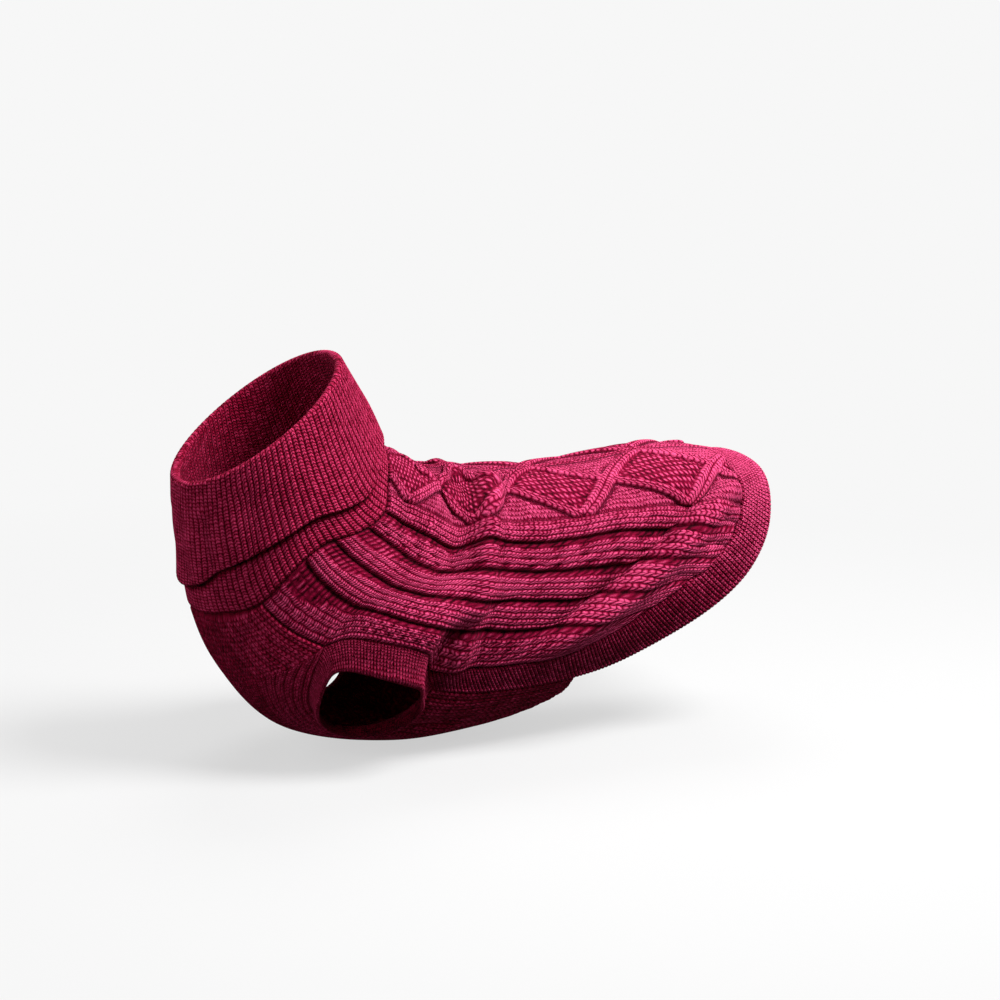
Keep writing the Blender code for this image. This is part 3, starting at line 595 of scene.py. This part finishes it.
def shell(name, station, angle, thickness, values, seams=("start", "end", "sides")):
    """A thin shell: a fine outside, a sparse inside and a rim between their borders."""
    inside = worn(station, angle)
    rows, columns = thickness.shape
    runs = run_lengths(inside, 0), run_lengths(inside, 1)
    factor = edge_fall(*runs, ("start", "end", "sides"))
    # painted shade in the seams: the wool is darker where the piece meets another
    values["painted_light_and_shade"] = values["painted_light_and_shade"] * (SEAM_PAINTED_SHADE + (1 - SEAM_PAINTED_SHADE) * edge_fall(*runs, seams))
    thick = BORDER + (thickness - BORDER) * factor
    outside = inside + outward(worn, station, angle) * thick[..., None]
    outer = np.arange(rows * columns).reshape(rows, columns)
    row_pick = np.unique(np.append(np.arange(0, rows, INSIDE_STEP), rows - 1))
    column_pick = np.unique(np.append(np.arange(0, columns, INSIDE_STEP), columns - 1))
    under = inside[np.ix_(row_pick, column_pick)]
    inner = rows * columns + np.arange(under.shape[0] * under.shape[1]).reshape(under.shape[:2])
    faces = quads(outer[:-1, :-1], outer[:-1, 1:], outer[1:, 1:], outer[1:, :-1])
    faces += quads(inner[:-1, :-1], inner[1:, :-1], inner[1:, 1:], inner[:-1, 1:])
    for fine, coarse, pick, turn in ((outer[0], inner[0], column_pick, 1),
                                     (outer[:, -1], inner[:, -1], row_pick, 1),
                                     (outer[-1], inner[-1], column_pick, -1),
                                     (outer[:, 0], inner[:, 0], row_pick, -1)):
        faces += rim(fine, coarse, pick, turn)
    points = np.concatenate([outside.reshape(-1, 3), under.reshape(-1, 3)])
    spare = len(points) - rows * columns
    filled = {key: np.concatenate([np.ravel(value), np.full(spare, np.mean(value))])
              for key, value in values.items()}
    return mesh_object(name, points, faces, filled)


def rim(fine, coarse, pick, turn):
    """Triangles between a fine line of points and every few of them on the inside."""
    faces = []
    for number, (start, end) in enumerate(zip(pick[:-1], pick[1:])):
        a = int(coarse[number])
        b = int(coarse[number + 1])
        middle = (start + end) // 2
        for place in range(start, end):
            foot = a if place < middle else b
            faces.append((foot, int(fine[place + 1]), int(fine[place])))
        faces.append((a, b, int(fine[middle])))
    if turn < 0:
        faces = [face[::-1] for face in faces]
    return faces


# -------- the back

def back_columns():
    """Places across the back, evenly in wales, with their wale numbers."""
    half = [0.0]
    wale = [0.0]
    inner = 0
    for stripe in STRIPES:
        count = stripe.wales * WALE_SAMPLES
        steps = np.arange(1, count + 1) / count
        half += list(inner + (stripe.outer_edge - inner) * steps)
        wale += list(wale[-1] + stripe.wales * steps)
        inner = stripe.outer_edge
    half = np.array(half)
    wale = np.array(wale)
    return np.concatenate([-half[:0:-1], half]), np.concatenate([-wale[:0:-1], wale])


def wale_crowns(wale):
    """Relief of the wales: 0 between two of them and 1 on their broad crowns."""
    return np.abs(np.sin(np.pi * wale)) ** 0.7


def ladder_share(length, share, wales):
    """1 on the ladder along the upper edge of a stripe, which is wider near the neck."""
    width = (LADDER_WALES + LADDER_OPENING * (1 - ease(length, 0.06, 0.24))) / wales
    return 1 - ease(share, width, width + 0.35 / wales)


def back_knit(length, half, wale):
    """Relief of the back, its shares of purl and ladder, its cable lanes and the turned ground."""
    height = np.zeros(np.broadcast(length, half).shape)
    purl = np.zeros_like(height)
    ladder = np.zeros_like(height)
    lane = np.full_like(height, NO_LANE)
    turned = np.zeros(height.shape, bool)
    inner = 0
    for stripe in STRIPES:
        share = (half - inner) / (stripe.outer_edge - inner)
        inside = (share >= 0) & (share <= 1)
        first = ladder_share(length, share, stripe.wales)
        crown = bump(share - 0.5, 0.54)
        if stripe.kind == "plain":
            relief = stripe.rise
        elif stripe.kind == "diamonds":
            relief, seed, lanes = diamonds(length, share, stripe.rise)
            purl = np.where(inside, seed, purl)
            lane = np.where(inside, lanes, lane)
            turned = inside & (lanes > 1)
        elif stripe.kind == "plait":
            relief = plait(length, share, stripe.rise) * crown
        else:
            relief = (stripe.rise - stripe.sink * first) * crown
        if stripe.kind == "eyelets":
            relief = relief - eyelets(length, share)
        height = np.where(inside, relief, height)
        if inner > BELOW_FIRST_VALLEY:
            ladder = np.where(inside, first, ladder)
        inner = stripe.outer_edge
    flat = (np.abs(lane) < 1) | turned
    calmer = 1 - 0.6 * np.maximum(purl, ladder)
    height = height + WALE_RISE * (wale_crowns(wale) - 0.4) * calmer * ~flat
    height = height - valleys(half)
    calm = HEM_CALM * ease(length, *HEM_CALM_FROM) * (half > STRIPES[1].outer_edge)
    return height + (1.0 - height) * calm, purl, ladder, lane, turned


def valleys(half):
    """Depth of the dark channels between the long stripes."""
    depth = 0
    for number, stripe in enumerate(STRIPES[1:-1]):
        deepest = VALLEY_DEPTH if number else FIRST_VALLEY
        depth = depth + deepest * np.exp(-((half - stripe.outer_edge) / VALLEY_WIDTH) ** 2)
    return depth


def diamonds(length, share, ground):
    """Two cables that cross into diamonds: their relief, seed stitch and lane."""
    across = 2 * share - 1
    phase = smooth(length, CROSSINGS, range(len(CROSSINGS)))
    zigzag = 1 - np.abs(2 * (phase % 1) - 1)
    distance = (np.abs(across) - zigzag) * DIAMOND_SPREAD / np.hypot(1, CABLE_SLOPE)
    cable = bump(distance, CABLE_HALF_WIDTH)
    groove = np.exp(-((np.abs(distance) - CABLE_HALF_WIDTH - GROOVE.gap) / GROOVE.width) ** 2)
    inside = ease(-distance, 3.2, 4.4)
    puff = inside * SEED_PUFF * np.clip(zigzag - np.abs(across), 0, 1) ** 0.5
    level = np.clip(1.4 * bump(share - 0.52, 0.56), 0, 1)
    lift = (ground + CABLE_RISE * cable - GROOVE.depth * groove + puff) * level
    return lift, inside, distance / CABLE_HALF_WIDTH


def plait(length, share, rise):
    """Two strands that wind round each other."""
    swing = PLAIT_SWING * np.sin(np.pi * length * PLAIT_CROSSINGS)
    one = bump(share - 0.58 - swing, STRAND_REACH)
    two = bump(share - 0.58 + swing, STRAND_REACH)
    return 0.4 + rise * np.maximum(one, two)


def eyelets(length, share):
    """Depth of the rows of small eyelets over the hem and the cuff."""
    depth = 0
    for row in EYELET_ROWS:
        dash = ease(np.sin(2 * np.pi * (length * BACK_COURSES / EYELET_COURSES + row.shift)), 0, 0.5)
        depth = depth + EYELET_DEPTH * dash * np.exp(-((share - row.across) / 0.05) ** 2)
    return depth


def back_panel():
    spread, wale = back_columns()
    length = np.linspace(0, 1, BACK_ROWS + 1)[:, None]
    station, angle = back_places(length, spread[None, :])
    height, purl, ladder, lane, turned = back_knit(length, np.abs(spread)[None, :], wale[None, :])
    # painted light and shade: darker in the hollows of the relief and on the ladders, lighter over the
    # rump, and lighter on the turned ground
    painted_light_and_shade = (ease(height, *BACK_PAINTED_SHADE) * (1 - LADDER_SHADE * ladder)
            + RUMP_PAINTED_LIGHT * ease(length, *HEM_CALM_FROM) + GROUND_LIGHT * turned)
    values = knit_values(np.where(turned, length * GROUND_WALES, wale),
                         np.where(turned, wale, length * BACK_COURSES), painted_light_and_shade, purl, ladder, lane)
    return shell("back_knit", station, angle, CLOTH + height, values)


# -------- the other pieces

def ribs_at(turns, rise):
    """Height of ribs with round crowns and narrow valleys, one to a turn."""
    return rise * bump((turns % 1) - 0.5, 0.52) ** 1.3


def chest_belly():
    wale = np.linspace(-CHEST_WALES / 2, CHEST_WALES / 2, CHEST_WALES * WALE_SAMPLES + 1)
    spread = wale / (CHEST_WALES / 2)
    length = np.linspace(0, 1, CHEST_ROWS + 1)[:, None]
    station, angle = chest_places(length, spread[None, :])
    station = np.where(length == 0, neck_station(angle), station)
    half = np.abs(spread)[None, :]
    broad = ribs_at(wale[None, :] / CHEST_RIB_WALES, CHEST_RIB_RISE)
    broad = broad * (0.35 + 0.65 * ease(half, 0.35, 0.6))
    height = broad * (1 - 0.5 * ease(length, 0.5, 0.8)) + CHEST_WALE_RISE * wale_crowns(wale)[None, :]
    # painted shade in the hollows between the ribs and wales
    values = knit_values(wale, length * CHEST_COURSES, ease(height, *CHEST_PAINTED_SHADE))
    return shell("chest_knit", station, angle, CLOTH + height, values, seams=("start", "sides"))


def even_shares(places, count):
    """Length of a line on both sides, and its shares, -1 to 1, that lie evenly apart."""
    trial = np.linspace(-1, 1, 1201)
    station, angle = along(places, np.abs(trial))
    run = run_lengths(worn(station, angle * np.sign(trial)), 0)
    return run[-1], np.interp(np.linspace(0, run[-1], count + 1), run, trial)


def hem_band():
    length, _ = even_shares(HEM_EDGE, 2)
    ribs = round(length / HEM_RIB_PITCH)
    _, shares = even_shares(HEM_EDGE, ribs * HEM_RIB_SAMPLES)
    across = np.linspace(0, 1, HEM_ROWS + 1)[:, None]
    seam = along(HEM_SEAM, np.abs(shares))
    edge = along(HEM_EDGE, np.abs(shares))
    station = seam[0] + (edge[0] - seam[0]) * across
    angle = (seam[1] + (edge[1] - seam[1]) * across) * np.sign(shares)
    turns = np.arange(len(shares))[None, :] / HEM_RIB_SAMPLES
    pulled = (1 - ease(np.abs(angle), 45, 95)) * (1 - 0.7 * ease(across, 0.7, 0.95))
    height = ribs_at(turns, HEM_RISE) * (1 - 0.6 * pulled) + HEM_LIP * ease(across, 0.72, 0.95)
    # painted shade on the hem where it turns under the belly
    painted_shade = 1 - BELLY_SHADE * ease(np.abs(angle), 85, 108)
    # painted highlight on the hem where it runs over the rump
    painted_light_and_shade = ease(height, *HEM_PAINTED_SHADE) * painted_shade + HEM_PAINTED_HIGHLIGHT * pulled
    values = knit_values(turns, across * HEM_COURSES, painted_light_and_shade)
    return shell("hem_knit", station, angle, CLOTH + height, values, seams=("start",))


def band(name, lines, values):
    """A closed band from rings of points, in turn round its section."""
    rows = len(lines)
    count = len(lines[0])
    points = np.concatenate(lines)
    numbers = np.arange(rows * count).reshape(rows, count)
    below = np.roll(numbers, -1, axis=0)
    faces = quads(numbers, np.roll(numbers, -1, axis=1), np.roll(below, -1, axis=1), below)
    return mesh_object(name, points, faces, {key: np.ravel(value) for key, value in values.items()})


def collar():
    """The ribbed tube, folded down over itself: inner layer, rim, outer layer and foot."""
    count = COLLAR_RIBS * RIB_SAMPLES
    angles = np.linspace(0, 360, count, endpoint=False)
    signed = (angles + 180) % 360 - 180
    base = neck_station(signed)
    free = smooth(np.abs(signed), *zip(*FREE_EDGE))
    height = np.linalg.norm(worn(base, signed) - worn(0 * base, signed), axis=-1)
    turns = np.arange(count) / RIB_SAMPLES
    ribs = ribs_at(turns, 1)
    waves = 1.2 * np.sin(np.radians(signed) * 5 + 1) + 0.9 * np.sin(np.radians(signed) * 9)
    lines = []
    rises = []
    courses = []

    def add(share, out, ribbed, painted_light_and_shade=1.0):
        station = base * (1 - share)
        away = out + RIB_RISE * ribbed * ribs + 0 * base
        lines.append(worn(station, signed) + outward(worn, station, signed) * away[:, None])
        # a value below 1 in the last argument darkens the rise from which the painted shade is drawn
        rises.append((ribs * ribbed + 0.4 * (1 - ribbed) + 0.6) * painted_light_and_shade - 0.6)
        courses.append((share + 0 * base) * height / COLLAR_COURSE)

    top = 1 - COLLAR_LAYER / height
    for step in np.linspace(0, 1, 8, endpoint=False):
        add(top * step, 0.0, 0.0)
    for lean in np.radians(np.linspace(-90, 90, 13)):
        add(1 - (1 - math.cos(lean)) * COLLAR_LAYER / height,
            COLLAR_LAYER * (1 + math.sin(lean)), (1 + math.sin(lean)) / 2)
    for step in np.linspace(0, 1, COLLAR_ROWS + 1)[1:]:
        share = top + (free + FREE_EDGE_DROP / height - top) * step
        swell = 0.7 * step + 0.8 * math.sin(math.pi * step)
        add(share, 2 * COLLAR_LAYER + swell + waves * math.sin(math.pi * step) * step, 1.0)
    for lean in np.radians(np.linspace(0, 180, 9)[1:]):
        add(free + (FREE_EDGE_DROP - 1.7 * math.sin(lean)) / height,
            2 * COLLAR_LAYER - 0.35 + FREE_EDGE_RADIUS * math.cos(lean), max(math.cos(lean), 0))
    for step in (0.3, 0.6):
        add(free + (top - free) * step, 2 * COLLAR_LAYER - 1.4, 0.0)
    for step in (0.6, 0.35, 0.2):
        add(free + (top - free) * step, STAND, 0.5)
    for step in np.linspace(1, 0, 18):
        share = (free + (top - free) * 0.12) * step
        near = np.clip(share * height / SEAM_ROUND, 0, 1)
        fall = np.sqrt(near * (2 - near))
        # painted shadow on the stand just under the free edge, and painted shade toward the neck seam
        painted_shade = 0.2 + 0.8 * ease((free - share) * height, 0, 5)
        add(share, BORDER + (FOOT - BORDER) * fall, fall, painted_shade * (0.3 + 0.7 * fall))
    # painted shade in the hollows between the ribs
    values = knit_values(turns, np.array(courses), ease(np.array(rises), *COLLAR_PAINTED_SHADE))
    return band("collar_knit", lines, values)


def leg_hole(side, count):
    """Points, stations and angles evenly round the hole for a leg, from its front."""
    share = np.linspace(0, 1, 400)
    upper = along(ARMHOLE, share)
    lower = along(LEG_INSIDE, share[::-1])
    station = np.concatenate([upper[0], lower[0][:-1]])
    angle = np.concatenate([upper[1], lower[1][:-1]]) * side
    loop = np.column_stack([worn(station, angle), station, angle])
    loop = np.vstack([loop, loop[:1]])
    run = run_lengths(loop[:, :3], 0)
    wanted = np.linspace(0, run[-1], count, endpoint=False)
    loop = np.column_stack([np.interp(wanted, run, loop[:, axis]) for axis in range(5)])
    return loop[:, :3], loop[:, 3], loop[:, 4]


def round_ring(values, passes):
    """Evens out values round a ring."""
    for _ in range(passes):
        values = values / 2 + (np.roll(values, 1, axis=0) + np.roll(values, -1, axis=0)) / 4
    return values


def cuff(name, side):
    """A ribbed cuff: it goes on from the cloth round the hole and turns down."""
    count = CUFF_RIBS * CUFF_RIB_SAMPLES
    edge, station, angle = leg_hole(side, count)
    normal = outward(worn, station, angle)
    into = np.cross(normal, np.roll(edge, -1, axis=0) - np.roll(edge, 1, axis=0))
    into = unit(round_ring(unit(into * -side), SLOPE_PASSES))
    under = ease(-normal[:, 2:], 0.35, 0.8)
    depth = smooth(np.arange(count) / count, *zip(*CUFF))[:, None]
    depth = depth * (1 - under) + CUFF_INNER_DEPTH * under
    start = edge - into * CUFF_OVERLAP - normal * CUFF_OVERLAP / 3
    knee = edge + into * CUFF_REACH
    end = round_ring(knee - depth * (0, 0, 1), EDGE_PASSES)

    def line_at(share):
        return start * (1 - share) ** 2 + knee * 2 * share * (1 - share) + end * share ** 2

    turns = np.arange(count) / CUFF_RIB_SAMPLES
    lines = []
    rises = []
    shares = list(np.linspace(0, 1, CUFF_ROWS + 1))
    for share in shares:
        line = line_at(share)
        along_ring = np.roll(line, -1, axis=0) - np.roll(line, 1, axis=0)
        ahead = line_at(min(share + 0.05, 1)) - line_at(max(share - 0.05, 0))
        away = normal if share == 0 else unit(np.cross(ahead, along_ring) * side)
        away = unit(round_ring(away, NORMAL_PASSES))
        rise = ribs_at(turns, CUFF_RISE) * min(1, share * 5 + 0.1)
        lift = CUFF_LIP * float(ease(share, 0.75, 0.95))
        to_edge = min((1 - share) * CUFF_LENGTH, share * 30 + 0.5)
        edge_share = float(np.clip(to_edge / EDGE_ROUND, 0, 1))
        fall = math.sqrt(edge_share * (2 - edge_share))
        lines.append(line + away * (BORDER + (CLOTH - BORDER + rise + lift) * fall)[:, None])
        rises.append(rise)
    for share in (1, 0.5, 0):
        lines.append(line_at(share))
        rises.append(0 * turns)
    courses = np.array(shares + [1, 0.5, 0])[:, None] * CUFF_COURSES
    # painted shade in the hollows between the ribs
    values = knit_values(turns, courses, ease(np.array(rises), *CUFF_PAINTED_SHADE))
    return band(name, lines, values)


# -------- wool

class Value:
    """A number that a material works out at each point. Its sums and products are nodes too."""

    def __init__(self, nodes, socket):
        self.nodes = nodes
        self.socket = socket

    def math(self, operation, *others, clamp=False):
        node = self.nodes.add("ShaderNodeMath", operation=operation, use_clamp=clamp)
        for target, value in zip(node.inputs, (self, *others)):
            self.nodes.link(value, target)
        return Value(self.nodes, node.outputs[0])

    def __add__(self, other):
        return self.math("ADD", other)

    def __sub__(self, other):
        return self.math("SUBTRACT", other)

    def __mul__(self, other):
        return self.math("MULTIPLY", other)

    def __pow__(self, other):
        return self.math("POWER", other)

    def __abs__(self):
        return self.math("ABSOLUTE")

    def clamped(self, factor, offset):
        """The number times a factor plus an offset, kept from 0 to 1."""
        return self.math("MULTIPLY_ADD", factor, offset, clamp=True)

    def wave(self):
        """Round crowns, one for each whole number, with sharp valleys between them."""
        return abs((self * math.pi).math("SINE"))

    def from_middle(self):
        """0 in the middle between two whole numbers and 1 at them."""
        return abs(self.math("FRACT") * 2 - 1)

    def between(self, first, second):
        """The first value where this number is 0 and the second where it is 1."""
        return first + (second - first) * self


class Nodes:
    """Builds the nodes of a material."""

    def __init__(self, material):
        material.use_nodes = True
        self.tree = material.node_tree
        self.shader = self.tree.nodes["Principled BSDF"]

    def add(self, kind, **settings):
        node = self.tree.nodes.new(kind)
        for key, value in settings.items():
            setattr(node, key, value)
        return node

    def link(self, source, target):
        """Feeds a socket from a value or another socket, or sets it to a number or a colour."""
        if isinstance(source, Value):
            source = source.socket
        if isinstance(source, bpy.types.NodeSocket):
            self.tree.links.new(source, target)
        else:
            target.default_value = source

    def finish(self, settings):
        for socket, value in settings.items():
            self.shader.inputs[socket].default_value = value

    def attribute(self, name):
        return Value(self, self.add("ShaderNodeAttribute", attribute_name=name).outputs["Fac"])

    def noise(self, waves, detail):
        """Noise about 0, from -0.5 to 0.5, with so many waves to a metre."""
        node = self.add("ShaderNodeTexNoise")
        self.link(self.add("ShaderNodeTexCoord").outputs["Object"], node.inputs["Vector"])
        self.link(waves, node.inputs["Scale"])
        self.link(detail, node.inputs["Detail"])
        return Value(self, node.outputs["Fac"]) - 0.5

    def chance(self, *cell):
        """A random number from -0.5 to 0.5, the same all over one whole-numbered cell."""
        corner = self.add("ShaderNodeCombineXYZ")
        for value, target in zip(cell, corner.inputs):
            self.link(value.math("FLOOR"), target)
        node = self.add("ShaderNodeTexWhiteNoise", noise_dimensions="2D")
        self.link(corner.outputs["Vector"], node.inputs["Vector"])
        return Value(self, node.outputs["Value"]) - 0.5

    def mix(self, share, first, second):
        """A colour between two, each given as a socket or as red, green and blue."""
        node = self.add("ShaderNodeMix", data_type="RGBA")
        self.link(share, node.inputs[0])
        for colour, target in ((first, node.inputs[6]), (second, node.inputs[7])):
            self.link((*colour, 1) if isinstance(colour, tuple) else colour, target)
        return node.outputs[2]


def stitch_places(nodes):
    """Wale and course at a point, a little uneven, and along a cable where it lies on one."""
    lane = nodes.attribute("lane")
    wale = nodes.attribute("wale") + nodes.noise(220, 1) * WALE_DRIFT
    wale = abs(lane).math("LESS_THAN", 1).between(wale, lane)
    course = nodes.attribute("course") + nodes.noise(160, 1) * COURSE_DRIFT
    return wale + 500, course


def stitch_height(nodes, wale, course):
    """Height of the stitches: slanted pairs, round purl beads, or the rungs of a ladder."""
    side = wale.from_middle()
    legs = (side * 0.55 + course).wave() ** 0.7
    notch = (side * 4).math("SMOOTH_MIN", 1, 0.3) * 0.4 + 0.6
    valley = side ** 4 * -1 + 1
    plain = legs * valley * notch
    broad = wale * PURL_SCALE
    beads = (course * PURL_SCALE + broad.math("FLOOR") * 0.5).wave() ** 1.8
    purl = beads * (broad.from_middle() ** 1.6 * -1 + 1)
    rungs = ((wale * 0.3 + course) * 0.5).wave() ** 1.3 * (valley * 0.6 + 0.4)
    height = nodes.attribute("purl").between(plain, purl)
    return nodes.attribute("ladder").between(height, rungs)


def wool_material(name, wool):
    """Fuzzy wool: stitches, loose fibres, and painted shade that deepens between the stitches."""
    material = bpy.data.materials.new(name)
    nodes = Nodes(material)
    wale, course = stitch_places(nodes)
    stitches = stitch_height(nodes, wale, course)
    fibres = nodes.noise(1500, 3)
    # painted shade between the stitches, from their height, times the painted light and shade of the
    # point; fibres, clouds and single stitches add real variation
    level = (stitches * 0.75 + 0.22) * (nodes.attribute("painted_light_and_shade") * 0.9 + 0.1)
    level = level + fibres * FIBRE_TONE + nodes.noise(45, 4) * CLOUD_TONE
    level = nodes.chance(wale, course).clamped(STITCH_TONE, level)
    low = nodes.mix(level.clamped(2, 0), wool.hollow, wool.stitch)
    nodes.link(nodes.mix(level.clamped(2, -1), low, wool.crown), nodes.shader.inputs["Base Color"])
    hill = nodes.add("ShaderNodeBump")
    hill.inputs["Strength"].default_value = 1.0
    hill.inputs["Distance"].default_value = STITCH_HEIGHT * METRES
    nodes.link(stitches + fibres * 0.3, hill.inputs["Height"])
    nodes.link(hill.outputs["Normal"], nodes.shader.inputs["Normal"])
    nodes.finish(WOOL_FINISH)
    return material


# -------- studio

def put(name, data, azimuth, elevation, distance, target):
    """Adds a lamp or camera at a distance from a target, turned toward it."""
    turn = math.radians(azimuth)
    rise = math.radians(elevation)
    back = Vector((math.sin(turn) * math.cos(rise), -math.cos(turn) * math.cos(rise), math.sin(rise)))
    item = bpy.data.objects.new(name, data)
    item.location = Vector(target) + back * distance
    item.rotation_euler = (-back).to_track_quat("-Z", "Y").to_euler()
    bpy.context.scene.collection.objects.link(item)
    return item


def studio():
    scene = bpy.context.scene
    scene.view_settings.view_transform = "Standard"
    camera = bpy.data.cameras.new("camera")
    camera.lens = LENS_MM
    camera.sensor_width = SENSOR_MM
    camera.sensor_fit = "HORIZONTAL"
    scene.camera = put("camera", camera, CAMERA_AZIMUTH, CAMERA_ELEVATION, CAMERA_DISTANCE, LOOK_AT)
    for lamp in LAMPS:
        light = bpy.data.lights.new(lamp.name, "AREA")
        light.shape = "DISK"
        light.size = lamp.size
        light.energy = lamp.watts
        put(lamp.name, light, lamp.azimuth, lamp.elevation, lamp.distance, LAMP_TARGET)
    world = bpy.data.worlds.new("studio")
    world.use_nodes = True
    backing = world.node_tree.nodes["Background"]
    backing.inputs["Color"].default_value = BACKDROP
    backing.inputs["Strength"].default_value = 1.0
    world.cycles_visibility.diffuse = False
    world.cycles_visibility.glossy = False
    scene.world = world
    pale_floor()


def pale_floor():
    """A near-white floor that takes a soft shadow near the part and fades into the backdrop."""
    mesh = bpy.data.meshes.new("floor")
    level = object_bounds()[0][2] - FLOOR_GAP
    sides = ((-1, -1), (1, -1), (1, 1), (-1, 1))
    corners = [(x * FLOOR_REACH, y * FLOOR_REACH, level) for x, y in sides]
    mesh.from_pydata(corners, [], [(0, 1, 2, 3)])
    item = bpy.data.objects.new("floor", mesh)
    bpy.context.scene.collection.objects.link(item)
    item.visible_diffuse = False
    item.visible_glossy = False
    item.visible_shadow = False
    material = bpy.data.materials.new("floor_paint")
    nodes = Nodes(material)
    nodes.finish({"Base Color": FLOOR_PAINT, "Roughness": 1.0, "Specular IOR Level": 0.0})
    glow = nodes.add("ShaderNodeEmission")
    glow.inputs["Color"].default_value = BACKDROP
    distance = nodes.add("ShaderNodeVectorMath", operation="LENGTH")
    nodes.link(nodes.add("ShaderNodeTexCoord").outputs["Object"], distance.inputs[0])
    share = Value(nodes, distance.outputs["Value"]).clamped(FLOOR_FADE, FLOOR_SHARE)
    blend = nodes.add("ShaderNodeMixShader")
    nodes.link(share, blend.inputs[0])
    nodes.link(glow.outputs[0], blend.inputs[1])
    nodes.link(nodes.shader.outputs[0], blend.inputs[2])
    nodes.link(blend.outputs[0], nodes.tree.nodes["Material Output"].inputs["Surface"])
    mesh.materials.append(material)
    item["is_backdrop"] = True


def main():
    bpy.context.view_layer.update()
    studio()
    pieces = (
        (back_panel(), "back_panel", "cable_knit_wool", RASPBERRY, (0.40, 0.32), 0.115),
        (chest_belly(), "chest_belly_panel", "plain_knit_wool", CRIMSON, (0.26, 0.26), 0.05),
        (collar(), "collar", "ribbed_collar_wool", CRIMSON, (0.38, 0.20), 0.07),
        (hem_band(), "hem_band", "ribbed_hem_wool", RASPBERRY, (0.78, 0.035), None),
        (cuff("cuff_knit_left", 1), "cuff_left", "ribbed_cuff_wool", CRIMSON, (0.20, 0.025), None),
        (cuff("cuff_knit_right", -1), "cuff_right", "ribbed_cuff_wool", CRIMSON, (0.20, 0.025), None),
    )
    for piece, node, slot, wool, flat, area in pieces:
        piece.data.materials.append(wool_material(piece.name + "_wool", wool))
        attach(piece, "root")
        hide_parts(node)


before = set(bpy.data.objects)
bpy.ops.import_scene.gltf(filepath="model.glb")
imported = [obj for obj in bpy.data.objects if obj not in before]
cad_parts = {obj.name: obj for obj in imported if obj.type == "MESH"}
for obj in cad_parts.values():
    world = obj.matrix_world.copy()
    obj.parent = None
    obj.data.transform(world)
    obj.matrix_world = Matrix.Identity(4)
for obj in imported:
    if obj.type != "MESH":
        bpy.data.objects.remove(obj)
main()
